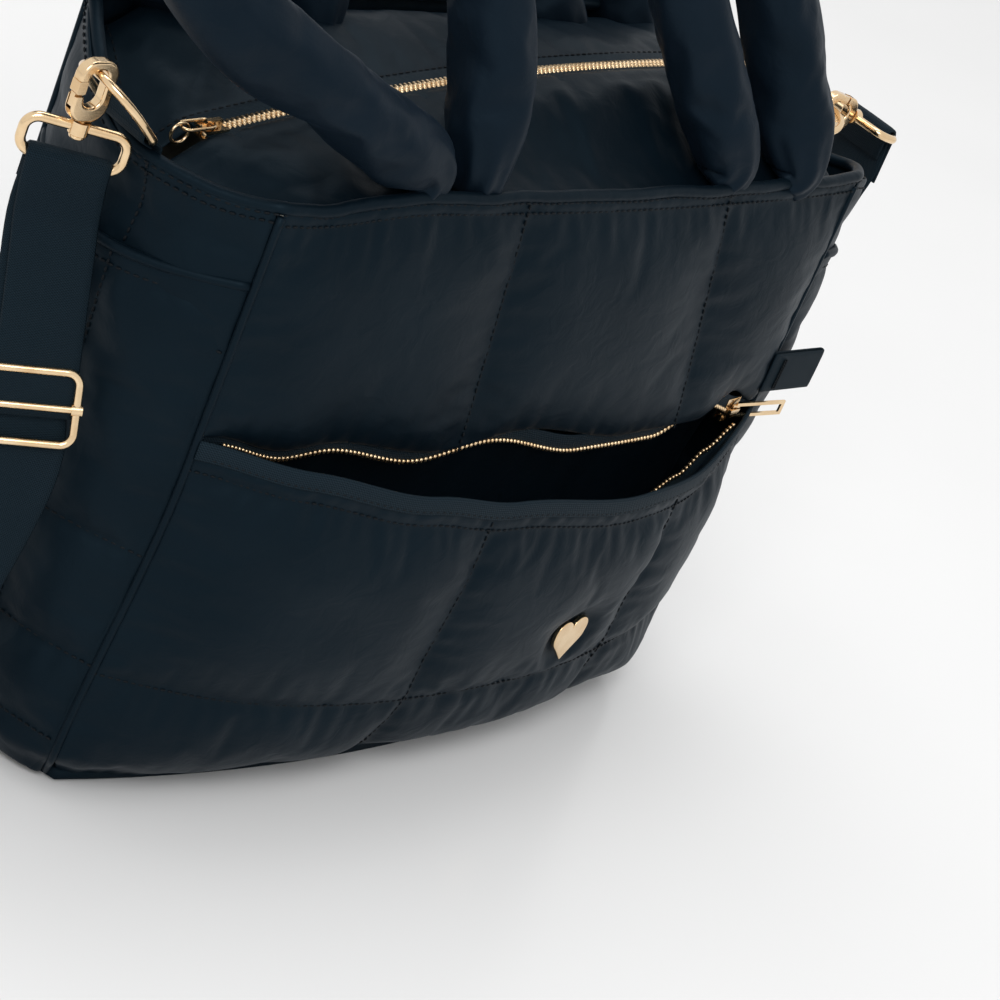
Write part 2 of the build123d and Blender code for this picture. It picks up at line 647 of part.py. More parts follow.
def write_soft_body():
    write_front()
    save("back_panel", layer(BACK, 0, SHELL, FLOOR_GAP, PANEL_TOP, HALF_W, "back"))
    write_wall("back", BACK, "back", INNER_HALF_W, PANEL_TOP)
    for side in ("left", "right"):
        save(f"{side}_gusset", layer(SIDE, 0, SHELL, FLOOR_GAP, GUSSET_TOP, SIDE_HALF, side))
        write_wall(f"{side}_gusset", SIDE, side, SIDE_HALF - 1, GUSSET_TOP)
        save(f"{side}_side_pocket", side_pocket(side))
    save("base_panel", base_plate(0, BASE_THICK, 1.0))
    save("base_board", base_plate(BASE_THICK + GAP / 2, BOARD_THICK, 16.0))
    save("base_lining", base_plate(FLOOR_GAP, LINING, 34.0))
    save("rim_binding", rim_binding())
    save("closure_front_wing", tilted(closure_wing(-1)))
    save("closure_rear_wing", tilted(closure_wing(1)))


def write_zips():
    for sign, name in ((-1, "front"), (1, "rear")):
        save(f"main_zip_{name}_tape", tilted(main_tape(sign)))
        save(f"main_zip_{name}_teeth", tilted(main_teeth(sign)))
    save("main_zip_slider", tilted(on_main_zip(slider_body(5.0, -5.0, 0.0))))
    save("main_zip_link", tilted(main_link()))
    save("main_zip_ring", tilted(main_ring()))
    save("pocket_zip_upper_tape", pocket_tape(False))
    save("pocket_zip_lower_tape", pocket_tape(True))
    save("pocket_zip_upper_teeth", pocket_teeth(False))
    save("pocket_zip_lower_teeth", pocket_teeth(True))
    save("pocket_zip_slider", place_on_zip(slider_body(7.0, -7.0, -1.6)))
    puller = Pos(0, -slider_pivot_y(), 0) * Rot(Z=-PULL_TILT) * pocket_puller()
    save("pocket_zip_puller", place_on_zip(puller))


def write_handles():
    for name, sign, lean in (("front", -1, 0.0), ("rear", 1, REAR_LEAN)):
        save(f"{name}_outer_handle", handle(OUTER_HANDLE, OUTER_ENDS, sign, lean))
        save(f"{name}_inner_handle", handle(INNER_HANDLE, INNER_ENDS, sign, lean))


def write_side_hardware():
    save("left_ring_tab", ring_tab(-1))
    save("right_ring_tab", ring_tab(1))
    left_ring = Pos(-RING_BAR_X, 0, RING_BAR_Z) * mirror(d_ring(LEFT_RING_LEAN), about=Plane.YZ)
    save("left_d_ring", left_ring)
    save("right_d_ring", Pos(RING_BAR_X, 0, RING_BAR_Z) * d_ring(RIGHT_RING_LEAN))
    save("left_hook", to_left(hook_body()))
    save("right_hook", to_right(hook_body()))
    save("left_hook_gate", to_left(hook_gate()))
    save("right_hook_gate", to_right(hook_gate()))
    save("left_swivel_eye", to_left(faced(swivel_eye())))
    save("right_swivel_eye", to_right(swivel_eye()))
    save("left_strap_end", to_left(faced(strap_end(0))))
    save("right_strap_end", to_right(strap_end(RIGHT_HOOK_TILT)))
    save("strap_webbing", strap_webbing())
    save("strap_slider", strap_slider())


def write_trims():
    save("right_side_tab", side_tab())
    save("heart_badge", heart_badge())


os.makedirs("parts", exist_ok=True)
write_soft_body()
write_zips()
write_handles()
write_side_hardware()
write_trims()
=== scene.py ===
import bpy
from math import asin, cos, exp, pi, radians, sin
from mathutils import Matrix, Vector, noise


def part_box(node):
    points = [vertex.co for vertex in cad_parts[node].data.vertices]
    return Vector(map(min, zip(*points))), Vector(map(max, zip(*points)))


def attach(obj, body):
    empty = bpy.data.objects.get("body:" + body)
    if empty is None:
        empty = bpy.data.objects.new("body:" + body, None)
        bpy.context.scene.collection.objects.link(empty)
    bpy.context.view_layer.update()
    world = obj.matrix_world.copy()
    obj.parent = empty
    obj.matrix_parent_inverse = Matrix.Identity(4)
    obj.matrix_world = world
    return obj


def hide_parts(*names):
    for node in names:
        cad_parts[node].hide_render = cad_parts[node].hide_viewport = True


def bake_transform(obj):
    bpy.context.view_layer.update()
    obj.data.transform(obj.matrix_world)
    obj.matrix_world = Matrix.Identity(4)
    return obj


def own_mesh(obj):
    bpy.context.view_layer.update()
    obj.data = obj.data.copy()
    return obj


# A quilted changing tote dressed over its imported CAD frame.  Sizes are in millimetres
# until a mesh is made, when they are turned into metres.
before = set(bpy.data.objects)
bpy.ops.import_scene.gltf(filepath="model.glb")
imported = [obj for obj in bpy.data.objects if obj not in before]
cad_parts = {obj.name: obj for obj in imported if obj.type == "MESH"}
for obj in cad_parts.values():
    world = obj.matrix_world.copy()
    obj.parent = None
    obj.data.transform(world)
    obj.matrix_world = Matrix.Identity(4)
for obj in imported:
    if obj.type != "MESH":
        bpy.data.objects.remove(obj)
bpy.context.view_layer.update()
MM = 0.001
ROOT = "bag"


# ---------------------------------------------------------------- places read from the frame
def box_mm(node):
    lo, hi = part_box(node)
    return lo / MM, hi / MM


UPPER = box_mm("front_upper_panel")
POCKET = box_mm("front_pocket_panel")
BACK_PANEL = box_mm("back_panel")
GUSSET = box_mm("right_gusset")
SIDE_POCKET = box_mm("right_side_pocket")
RIM = box_mm("rim_binding")
MAIN_TAPE = box_mm("main_zip_front_tape")
UPPER_TEETH = box_mm("pocket_zip_upper_teeth")
LOWER_TEETH = box_mm("pocket_zip_lower_teeth")

HALF_W = UPPER[1].x
HALF_D = GUSSET[1].y + 3.5
RIM_R = 5.0
RIM_Z = RIM[1].z - RIM_R
RIM_SAG = 14.0
RIM_END_X = HALF_W - 4.0
RIM_REACH = HALF_D - 4.0
PIPING_R = 3.3                 # the sewn piping is slimmer than the CAD's plain binding
REAR_RISE = 24.0               # the rear handles pull the back of the mouth up
RIM_CORNER_DROP = 8.0          # the rim is pulled down at the front left corner
RIM_SIDE_X = RIM[1].x - RIM_R
CLOSURE_Z = (MAIN_TAPE[0].z + MAIN_TAPE[1].z) / 2
CLOSURE_SLOPE = (MAIN_TAPE[1].z - MAIN_TAPE[0].z) / (MAIN_TAPE[1].x - MAIN_TAPE[0].x)
ZIP_HALF = MAIN_TAPE[1].x - 4.0
POCKET_ZIP_HALF = UPPER_TEETH[1].x
BACK_SEAM_X = HALF_W / 3       # the back is quilted in equal thirds
GUSSET_SEAM = 16.0             # the gusset's quilt line stands in front of its middle
SHELL_THICK = 1.6


def wall(half, corner, low, high, turn):
    """A bowed wall of the bag; low and high are (height, bow) pairs."""
    rise = (high[1] - low[1]) / (high[0] - low[0])
    spin = Matrix.Rotation(radians(turn), 3, "Z")
    return {"half": half, "corner": corner, "floor": low[1] - rise * low[0], "rise": rise, "turn": spin}


RIM_BOW = RIM[1].y - HALF_D
FRONT = wall(HALF_W, HALF_D, (UPPER[0].z, -UPPER[0].y - HALF_D), (RIM_Z, RIM_BOW), 0)
POCKET_FLOOR_BOW = 27.0
POCKET_BELLY_BOW = 45.0
POCKET_LIP_BOW = -POCKET[0].y - HALF_D
BACK = wall(HALF_W, HALF_D, (BACK_PANEL[0].z, BACK_PANEL[1].y - HALF_D), (RIM_Z, RIM_BOW), 180)
SIDE_BOWS = ((0.0, 4.0), (GUSSET[1].z, GUSSET[1].x - HALF_W))
POCKET_BOWS = ((0.0, 14.0), (SIDE_POCKET[1].z, SIDE_POCKET[1].x - HALF_W - 1))
SIDES = {"left": -90, "right": 90}


def on_wall(w, x, z, out=0.0):
    """The point at x along a wall and height z, standing out from its face."""
    bow = w["floor"] + w["rise"] * z
    radius = (w["half"] ** 2 + bow ** 2) / (2 * bow)
    centre = radius - w["corner"] - bow
    angle = asin(max(-1.0, min(1.0, x / radius)))
    reach = radius + out
    return w["turn"] @ Vector((reach * sin(angle), centre - reach * cos(angle), z))


def ease(t):
    t = max(0.0, min(1.0, t))
    return t * t * (3 - 2 * t)


def dip(t):
    """1 in the middle of a span and 0 at its ends, for t from -1 to 1."""
    return max(0.0, 1 - t * t)


def curve_at(spots, x):
    """Height at x of a soft curve through (x, height) spots."""
    for (a, low), (b, high) in zip(spots, spots[1:]):
        if x <= b:
            return low + (high - low) * ease((x - a) / (b - a))
    return spots[-1][1]


# ---------------------------------------------------------------- material nodes
def new_material(name):
    mat = bpy.data.materials.new(name)
    mat.use_nodes = True
    nodes = mat.node_tree.nodes
    return mat, nodes, mat.node_tree.links, nodes["Principled BSDF"]


def coordinates(nodes, links, kind="Object", scale=(1, 1, 1)):
    where = nodes.new("ShaderNodeTexCoord")
    mapping = nodes.new("ShaderNodeMapping")
    mapping.inputs["Scale"].default_value = scale
    links.new(where.outputs[kind], mapping.inputs["Vector"])
    return mapping.outputs["Vector"]


def noise_of(nodes, links, vector, scale, detail=3.0, distortion=0.0):
    node = nodes.new("ShaderNodeTexNoise")
    node.inputs["Scale"].default_value = scale
    node.inputs["Detail"].default_value = detail
    node.inputs["Distortion"].default_value = distortion
    links.new(vector, node.inputs["Vector"])
    return node.outputs["Fac"]


def wave_of(nodes, links, vector, scale, direction, distortion=0.0):
    node = nodes.new("ShaderNodeTexWave")
    node.bands_direction = direction
    node.inputs["Scale"].default_value = scale
    node.inputs["Distortion"].default_value = distortion
    links.new(vector, node.inputs["Vector"])
    return node.outputs["Fac"]


def ramp_of(nodes, links, fac, stops):
    """stops are (place, colour) pairs; a colour is (r, g, b)."""
    node = nodes.new("ShaderNodeValToRGB")
    while len(node.color_ramp.elements) < len(stops):
        node.color_ramp.elements.new(0.5)
    for element, (place, colour) in zip(node.color_ramp.elements, stops):
        element.position = place
        element.color = (*colour, 1)
    links.new(fac, node.inputs["Fac"])
    return node.outputs["Color"]


def range_of(nodes, links, fac, low, high):
    node = nodes.new("ShaderNodeMapRange")
    node.inputs["To Min"].default_value = low
    node.inputs["To Max"].default_value = high
    links.new(fac, node.inputs["Value"])
    return node.outputs["Result"]


def combine(nodes, links, operation, a, b):
    node = nodes.new("ShaderNodeMath")
    node.operation = operation
    links.new(a, node.inputs[0])
    if isinstance(b, float):
        node.inputs[1].default_value = b
    else:
        links.new(b, node.inputs[1])
    return node.outputs["Value"]


def bump_on(nodes, links, height, strength, depth, below=None):
    node = nodes.new("ShaderNodeBump")
    node.inputs["Strength"].default_value = strength
    node.inputs["Distance"].default_value = depth
    links.new(height, node.inputs["Height"])
    if below is not None:
        links.new(below, node.inputs["Normal"])
    return node.outputs["Normal"]


# ---------------------------------------------------------------- materials
def nylon(name, deep, light, roughness, crease):
    """Padded nylon: a satin face with fine creases, soft tone changes and a close weave."""
    mat, nodes, links, bsdf = new_material(name)
    at = coordinates(nodes, links)
    tone = noise_of(nodes, links, at, 14.0, 4.0)
    links.new(ramp_of(nodes, links, tone, [(0.3, deep), (0.7, light)]), bsdf.inputs["Base Color"])
    patch = noise_of(nodes, links, at, 45.0, 5.0)
    links.new(range_of(nodes, links, patch, roughness - 0.07, roughness + 0.08), bsdf.inputs["Roughness"])
    bsdf.inputs["Specular IOR Level"].default_value = 0.125
    bsdf.inputs["Specular Tint"].default_value = (0.5, 0.78, 1.0, 1)
    bsdf.inputs["Sheen Weight"].default_value = 0.015
    bsdf.inputs["Sheen Roughness"].default_value = 0.4
    bsdf.inputs["Sheen Tint"].default_value = (0.4, 0.65, 1.0, 1)
    crinkle = noise_of(nodes, links, at, 75.0, 5.0, 0.8)
    folds = bump_on(nodes, links, crinkle, crease, 0.0025)
    weave_x = wave_of(nodes, links, coordinates(nodes, links, scale=(1, 1, 1)), 900.0, "DIAGONAL")
    links.new(bump_on(nodes, links, weave_x, 0.06, 0.0002, folds), bsdf.inputs["Normal"])
    return mat


def webbing_material():
    """Ribbed twill webbing; its UVs run in millimetres across and along the band."""
    mat, nodes, links, bsdf = new_material("ribbed_webbing")
    at = coordinates(nodes, links, "UV")
    ribs = wave_of(nodes, links, at, 0.42, "Y")
    twill = wave_of(nodes, links, at, 0.5, "DIAGONAL", 0.4)
    height = combine(nodes, links, "ADD", ribs, twill)
    share = combine(nodes, links, "MULTIPLY", height, 0.5)
    shades = [(0.2, (0.001, 0.003, 0.005)), (0.8, (0.006, 0.0125, 0.0185))]
    links.new(ramp_of(nodes, links, share, shades), bsdf.inputs["Base Color"])
    wear = noise_of(nodes, links, coordinates(nodes, links), 60.0, 4.0)
    links.new(range_of(nodes, links, wear, 0.5, 0.65), bsdf.inputs["Roughness"])
    bsdf.inputs["Specular IOR Level"].default_value = 0.16
    bsdf.inputs["Specular Tint"].default_value = (0.5, 0.78, 1.0, 1)
    links.new(bump_on(nodes, links, height, 0.5, 0.0005), bsdf.inputs["Normal"])
    return mat


def twill_tape_material():
    """Herringbone zip tape, with UVs in millimetres."""
    mat, nodes, links, bsdf = new_material("herringbone_tape")
    at = coordinates(nodes, links, "UV")
    bone = wave_of(nodes, links, at, 0.28, "X")
    twill = wave_of(nodes, links, at, 0.4, "DIAGONAL", 1.5)
    height = combine(nodes, links, "ADD", bone, twill)
    share = combine(nodes, links, "MULTIPLY", height, 0.5)
    shades = [(0.15, (0.002, 0.005, 0.008)), (0.85, (0.010, 0.018, 0.025))]
    links.new(ramp_of(nodes, links, share, shades), bsdf.inputs["Base Color"])
    bsdf.inputs["Roughness"].default_value = 0.65
    bsdf.inputs["Specular IOR Level"].default_value = 0.16
    bsdf.inputs["Specular Tint"].default_value = (0.5, 0.78, 1.0, 1)
    links.new(bump_on(nodes, links, height, 0.4, 0.0004), bsdf.inputs["Normal"])
    return mat


def lining_material():
    mat, nodes, links, bsdf = new_material("olive_lining")
    at = coordinates(nodes, links)
    tone = noise_of(nodes, links, at, 20.0, 3.0)
    shades = [(0.3, (0.26, 0.265, 0.225)), (0.75, (0.40, 0.40, 0.35))]
    links.new(ramp_of(nodes, links, tone, shades), bsdf.inputs["Base Color"])
    bsdf.inputs["Roughness"].default_value = 0.6
    bsdf.inputs["Sheen Weight"].default_value = 0.2
    weave = wave_of(nodes, links, at, 700.0, "Z")
    crinkle = noise_of(nodes, links, at, 90.0, 4.0)
    folds = bump_on(nodes, links, crinkle, 0.5, 0.002)
    links.new(bump_on(nodes, links, weave, 0.2, 0.0003, folds), bsdf.inputs["Normal"])
    return mat


def gold_material(name, roughness):
    """Polished pale gold plating with faint handling marks."""
    mat, nodes, links, bsdf = new_material(name)
    at = coordinates(nodes, links)
    bsdf.inputs["Metallic"].default_value = 1.0
    tone = noise_of(nodes, links, at, 90.0, 3.0)
    shades = [(0.3, (0.72, 0.50, 0.28)), (0.7, (0.86, 0.66, 0.42))]
    links.new(ramp_of(nodes, links, tone, shades), bsdf.inputs["Base Color"])
    marks = noise_of(nodes, links, coordinates(nodes, links, scale=(1, 1, 5)), 300.0, 6.0)
    links.new(range_of(nodes, links, marks, roughness - 0.05, roughness + 0.1), bsdf.inputs["Roughness"])
    links.new(bump_on(nodes, links, marks, 0.08, 0.0002), bsdf.inputs["Normal"])
    return mat


# Navy stitching thread, partly its own colour and partly painted shade: it is darkened below the nylon's tone
# so that the sewn seam valleys it lies in read dark.
def thread_and_seam_shade_material():
    mat, nodes, links, bsdf = new_material("navy_thread_painted_seam_shade")
    at = coordinates(nodes, links)
    twist = wave_of(nodes, links, at, 1200.0, "DIAGONAL")
    # Painted shade: these thread tones are kept darker than the nylon to stand in for the shade along the
    # seams.
    shades = [(0.2, (0.0008, 0.002, 0.0035)), (0.8, (0.004, 0.007, 0.010))]
    links.new(ramp_of(nodes, links, twist, shades), bsdf.inputs["Base Color"])
    bsdf.inputs["Roughness"].default_value = 0.6
    bsdf.inputs["Specular IOR Level"].default_value = 0.15
    links.new(bump_on(nodes, links, twist, 0.3, 0.0001), bsdf.inputs["Normal"])
    return mat


def floor_material():
    mat, nodes, links, bsdf = new_material("studio_floor")
    at = coordinates(nodes, links)
    tone = noise_of(nodes, links, at, 3.0, 2.0)
    shades = [(0.3, (0.76,) * 3), (0.7, (0.78,) * 3)]
    links.new(ramp_of(nodes, links, tone, shades), bsdf.inputs["Base Color"])
    bsdf.inputs["Roughness"].default_value = 0.22
    bsdf.inputs["Specular IOR Level"].default_value = 0.35
    return mat


SHELL_NYLON = nylon("quilted_nylon", (0.0014, 0.0044, 0.0076), (0.0026, 0.0066, 0.0106), 0.48, 0.25)
HANDLE_NYLON = nylon("handle_nylon", (0.0026, 0.0060, 0.0108), (0.0044, 0.0086, 0.0146), 0.48, 0.25)
SMOOTH_NYLON = nylon("plain_nylon", (0.0013, 0.0042, 0.0074), (0.0024, 0.0062, 0.0100), 0.48, 0.22)
WEBBING = webbing_material()
TAPE = twill_tape_material()
LINING = lining_material()
GOLD = gold_material("polished_gold", 0.16)
GOLD_TEETH = gold_material("gold_teeth", 0.26)
THREAD_WITH_SEAM_SHADE = thread_and_seam_shade_material()


# ---------------------------------------------------------------- mesh making
CORNER_PULL = 17.0             # the slack front left corner is drawn in this far
PULL_REACH = 38.0


def slump(p):
    """Where a spot on the soft bag goes when its front left corner is drawn in."""
    away = Vector((p.x + HALF_W, p.y + HALF_D)).length / PULL_REACH
    return Vector((p.x + CORNER_PULL * ease(p.z / 190.0) * exp(-0.5 * away * away), p.y, p.z))


def make_piece(name, points, faces, material, uvs=None):
    """A smooth mesh from millimetre points, ready to ride; the hanging strap doesn't slump."""
    mesh = bpy.data.meshes.new(name)
    if material != WEBBING:
        points = [slump(Vector(p)) for p in points]
    mesh.from_pydata([Vector(p) * MM for p in points], [], faces)
    mesh.validate()
    if uvs is not None:
        layer = mesh.uv_layers.new(name="UVMap")
        for loop in mesh.loops:
            layer.data[loop.index].uv = uvs[loop.vertex_index]
    for polygon in mesh.polygons:
        polygon.use_smooth = True
    piece = bpy.data.objects.new(name, mesh)
    bpy.context.scene.collection.objects.link(piece)
    piece.data.materials.append(material)
    return piece


def grid_faces(columns, rows, round_columns=False, round_rows=False):
    """Quads of a grid stored row by row; a round grid joins its last line to its first."""
    faces = []
    for j in range(rows if round_rows else rows - 1):
        for i in range(columns if round_columns else columns - 1):
            a = j * columns + i
            b = j * columns + (i + 1) % columns
            c = ((j + 1) % rows) * columns + (i + 1) % columns
            d = ((j + 1) % rows) * columns + i
            faces.append((a, b, c, d))
    return faces


def thicken(piece, thickness, smooth=1):
    solid = piece.modifiers.new("Thickness", "SOLIDIFY")
    solid.thickness = thickness * MM
    solid.offset = -1.0
    solid.use_even_offset = False
    if smooth:
        subdivide(piece, smooth)


def subdivide(piece, levels):
    sub = piece.modifiers.new("Smooth", "SUBSURF")
    sub.levels = levels
    sub.render_levels = levels


def line_steps(stops, step):
    """Grid lines between stops: a list of (place, is a stop)."""
    lines = [(stops[0], True)]
    for a, b in zip(stops, stops[1:]):
        count = max(2, round(abs(b - a) / step))
        for k in range(1, count + 1):
            lines.append((a + (b - a) * k / count, k == count))
    return lines


def settle(piece, held, pressure, grow, frames, cap, stiffness=8.0):
    """Let the fabric swell and wrinkle between its held stitches, then keep that shape."""
    mesh = piece.data
    rest = [v.co.copy() for v in mesh.vertices]
    group = piece.vertex_groups.new(name="held")
    group.add(held, 1.0, "ADD")
    cloth = piece.modifiers.new("Cloth", "CLOTH")
    cloth.settings.vertex_group_mass = "held"
    cloth.settings.quality = 5
    cloth.settings.mass = 0.25
    cloth.settings.tension_stiffness = stiffness
    cloth.settings.compression_stiffness = stiffness
    cloth.settings.shear_stiffness = stiffness / 2
    cloth.settings.bending_stiffness = 0.02
    cloth.settings.air_damping = 2.0
    cloth.settings.use_pressure = True
    cloth.settings.uniform_pressure_force = pressure
    cloth.settings.shrink_min = -grow
    cloth.settings.effector_weights.gravity = 0.0
    cloth.collision_settings.use_collision = False
    cloth.collision_settings.use_self_collision = False
    cloth.point_cache.frame_start = 1
    cloth.point_cache.frame_end = frames
    scene = bpy.context.scene
    for number in range(1, frames + 1):
        scene.frame_set(number)
    shaped = piece.evaluated_get(bpy.context.evaluated_depsgraph_get())
    moved = [v.co.copy() for v in shaped.data.vertices]
    piece.modifiers.remove(cloth)
    piece.vertex_groups.remove(group)
    scene.frame_set(1)
    for vertex, start, end in zip(mesh.vertices, rest, moved):
        shift = end - start
        length = shift.length
        if length > 1e-9:
            shift *= cap * MM * (1 - exp(-length / (cap * MM))) / length
        vertex.co = start + shift
    mesh.update()


def gathers(x, z, near, rise, puff, seed):
    """Short puckers that run away from a stitched line, and slack folds further out."""
    beside_column = exp(-near / 10) * noise.noise(Vector((x / 40, z / 7, seed)))
    beside_row = exp(-rise / 10) * noise.noise(Vector((x / 7, z / 40, seed + 9)))
    slack = noise.noise(Vector(((x + z) / 38, (x - z) / 70, seed + 4)))
    clear = min(1.0, min(near, rise) / 4.0)
    return puff * clear * (0.4 * (beside_column + beside_row) + 0.33 * slack)


def build_sheet(name, xs, levels, place, material, seed_puff, sim, pinned=None):
    """A quilted sheet.  xs are stitched columns, levels are stitched rows as functions of x,
    place(x, z, out) gives a point, sim is (pressure, grow, cap, step), and pinned(x, z) is
    how firmly a spot is held down by something sewn onto it, from 0 to 1."""
    step = sim[3] if sim else 5.0
    columns = line_steps(xs, step)
    middle = 0.5 * (xs[0] + xs[1])
    spans = [abs(levels[k + 1](middle) - levels[k](middle)) for k in range(len(levels) - 1)]
    points = []
    held = []
    shares = [(0, 0.0, True)]
    for k, span in enumerate(spans):
        count = max(2, round(span / step))
        shares += [(k, n / count, n == count) for n in range(1, count + 1)]
    for j, (k, share, stop_row) in enumerate(shares):
        for i, (x, stop_column) in enumerate(columns):
            z = levels[k](x) * (1 - share) + levels[k + 1](x) * share
            near = min(abs(x - stop) for stop in xs)
            rise = min(share, 1 - share) * spans[k]
            firm = pinned(x, z) if pinned else 0.0
            puff = seed_puff * (1 - exp(-near / 13)) * (1 - exp(-rise / 13))
            puff += gathers(x, z, near, rise, seed_puff, len(name))
            points.append(place(x, z, puff * (1 - firm)))
            if stop_column or stop_row or firm > 0.9:
                held.append(len(points) - 1)
    faces = grid_faces(len(columns), len(shares))
    piece = make_piece(name, points, faces, material)
    piece["columns"] = len(columns)
    piece["rows"] = len(shares)
    piece["stop_columns"] = [i for i, c in enumerate(columns) if c[1]]
    piece["stop_rows"] = [j for j, r in enumerate(shares) if r[2]]
    if sim:
        settle(piece, held, sim[0], sim[1], 18, sim[2])
    return piece


def unslump(p):
    """The spot that slump() moves to p."""
    spot = Vector(p)
    for _ in range(4):
        spot += Vector(p) - slump(spot)
    return spot


def sheet_line(piece, row=None, column=None):
    """Points in millimetres along one grid line of a finished sheet, before slumping."""
    wide = piece["columns"]
    if row is not None:
        picks = range(row * wide, (row + 1) * wide)
    else:
        picks = range(column, wide * piece["rows"], wide)
    return [unslump(piece.data.vertices[i].co / MM) for i in picks]


def even_points(line, pitch):
    """Points every pitch along a polyline, each with its direction."""
    spots = []
    carried = 0.0
    for a, b in zip(line, line[1:]):
        span = (b - a).length
        if span < 1e-6:
            continue
        along = (b - a) / span
        at = carried
        while at < span:
            spots.append((a + along * at, along))
            at += pitch
        carried = at - span
    return spots


def smooth_path(points, step):
    """Even points along a smooth curve through the given ones."""
    spots = [Vector(p) for p in points]
    ends = [2 * spots[0] - spots[1], 2 * spots[-1] - spots[-2]]
    spots = [ends[0]] + spots + [ends[1]]
    fine = []
    for k in range(1, len(spots) - 2):
        p0, p1, p2, p3 = spots[k - 1:k + 3]
        for n in range(24):
            t = n / 24
            fine.append(0.5 * (2 * p1 + (p2 - p0) * t + (2 * p0 - 5 * p1 + 4 * p2 - p3) * t * t
                               + (3 * p1 - p0 - 3 * p2 + p3) * t ** 3))
    fine.append(spots[-2])
    line = [spot for spot, _ in even_points(fine, step)]
    line.append(fine[-1])
    return line


def stitch_beads(name, lines, out, pitch=4.2, length=2.8, radius=0.6):
    """Rows of thread stitches lying along polylines, pushed out by the vector out(point)."""
    points = []
    faces = []
    sides = 5
    for line in lines:
        for spot, along in even_points(line, pitch):
            push = out(spot)
            across = along.cross(push).normalized()
            lift = across.cross(along).normalized()
            centre = spot + push
            base = len(points)
            for share, size in ((-0.5, 0.35), (-0.25, 1.0), (0.25, 1.0), (0.5, 0.35)):
                for s in range(sides):
                    a = 2 * pi * s / sides
                    ring = across * cos(a) + lift * sin(a)
                    points.append(centre + along * length * share + ring * radius * size)
            for r in range(3):
                for s in range(sides):
                    t = (s + 1) % sides
                    low = base + r * sides
                    faces.append((low + s, low + t, low + sides + t, low + sides + s))
            faces.append(tuple(base + s for s in reversed(range(sides))))
            faces.append(tuple(base + 3 * sides + s for s in range(sides)))
    piece = make_piece(name, points, faces, THREAD_WITH_SEAM_SHADE)
    return piece


def tube_rings(path, radius_at, sides, up=Vector((0, 0, 1)), closed=False):
    """Rings of points round a path, carried along without twisting."""
    rings = []
    count = len(path)
    side = None
    for k, spot in enumerate(path):
        before = path[(k - 1) % count] if closed or k > 0 else path[k]
        after = path[(k + 1) % count] if closed or k < count - 1 else path[k]
        along = (after - before).normalized()
        if side is None:
            side = along.cross(up).normalized()
        side = (side - along * side.dot(along)).normalized()
        lift = side.cross(along)
        ring = []
        for s in range(sides):
            a = 2 * pi * s / sides
            ring.append(spot + (side * cos(a) + lift * sin(a)) * radius_at(k / max(1, count - 1), a))
        rings.append(ring)
    return rings


def make_tube(name, path, radius_at, sides, material, closed=False, up=Vector((0, 0, 1))):
    rings = tube_rings(path, radius_at, sides, up, closed)
    points = [p for ring in rings for p in ring]
    faces = grid_faces(sides, len(rings), round_columns=True, round_rows=closed)
    if not closed:
        faces.append(tuple(reversed(range(sides))))
        faces.append(tuple((len(rings) - 1) * sides + s for s in range(sides)))
    return make_piece(name, points, faces, material)


def make_ribbon(name, path, across, width, thick, material):
    """Flat webbing with rounded selvedges; UVs run across and along it in millimetres."""
    profile = [(-0.5, 0.0), (-0.48, 0.36), (-0.4, 0.5), (0.0, 0.56), (0.4, 0.5), (0.48, 0.36),
               (0.5, 0.0), (0.48, -0.36), (0.4, -0.5), (0.0, -0.56), (-0.4, -0.5), (-0.48, -0.36)]
    points = []
    uvs = []
    run = 0.0
    for k, spot in enumerate(path):
        before = path[max(0, k - 1)]
        after = path[min(len(path) - 1, k + 1)]
        along = (after - before).normalized()
        wide = across[k] - along * across[k].dot(along)
        wide.normalize()
        face = wide.cross(along)
        if k:
            run += (spot - path[k - 1]).length
        for u, v in profile:
            points.append(spot + wide * (u * width) + face * (v * thick))
            uvs.append((u * width, run))
    sides = len(profile)
    faces = grid_faces(sides, len(path), round_columns=True)
    faces.append(tuple(reversed(range(sides))))
    faces.append(tuple((len(path) - 1) * sides + s for s in range(sides)))
    return make_piece(name, points, faces, material, uvs)


def at_height(value):
    return lambda x: value


# ---------------------------------------------------------------- front panels
# How far the slack zip rows and the lip wander from the CAD's straight rows.
UPPER_ROW_WANDER = [(-205, 10), (-155, 3), (-123, 7), (-67, -2), (-17, 6), (55, -7), (120, -8), (160, 6),
                    (200, -5)]
LIP_WANDER = [(-215, 24), (-150, 21), (-78, 11), (-21, 4), (88, -7), (142, -9), (201, 3), (215, 8)]
LOWER_ROW_WANDER = [(-215, 10), (-150, -6), (-60, -30), (120, -40), (157, -26), (176, -13), (200, 0)]
BADGE_MIDDLE = sum(box_mm("heart_badge"), Vector()) / 2
UPPER_SEAMS = [-HALF_W, -53, 98, HALF_W]
POCKET_SEAMS = [-HALF_W, -35, 129, HALF_W]
CORNER_TUCK = 12.0


def upper_edge(x):
    """Height of the upper zip row along the front."""
    return UPPER_TEETH[1].z + curve_at(UPPER_ROW_WANDER, x)


def lip_edge(x):
    """Height of the pocket's lip."""
    return LOWER_TEETH[1].z + curve_at(LIP_WANDER, x)


def lower_row(x):
    """Height of the lower zip row, which hangs behind the lip."""
    return LOWER_TEETH[1].z + curve_at(LOWER_ROW_WANDER, x)


def corner_drop(x):
    return RIM_CORNER_DROP * ease((-x - 110.0) / 90.0)


def tuck_under(z, z_low, reach):
    """How far a wall's foot curls in under the bag."""
    return -reach * (1 - ease((z - z_low) / 22.0)) if z < z_low + 22 else 0.0


def foot_tuck(x, z, half, reach):
    """A wall's curled-in foot: the new x along the wall, and how far it goes in from the face.
    At a corner both walls' feet go in by CORNER_TUCK, along and across, so that they meet."""
    corner = min(1.0, abs(x) / half) ** 8
    along = tuck_under(z, 3.0, CORNER_TUCK * corner)
    return x + (along if x > 0 else -along), tuck_under(z, 3.0, reach + (CORNER_TUCK - reach) * corner)


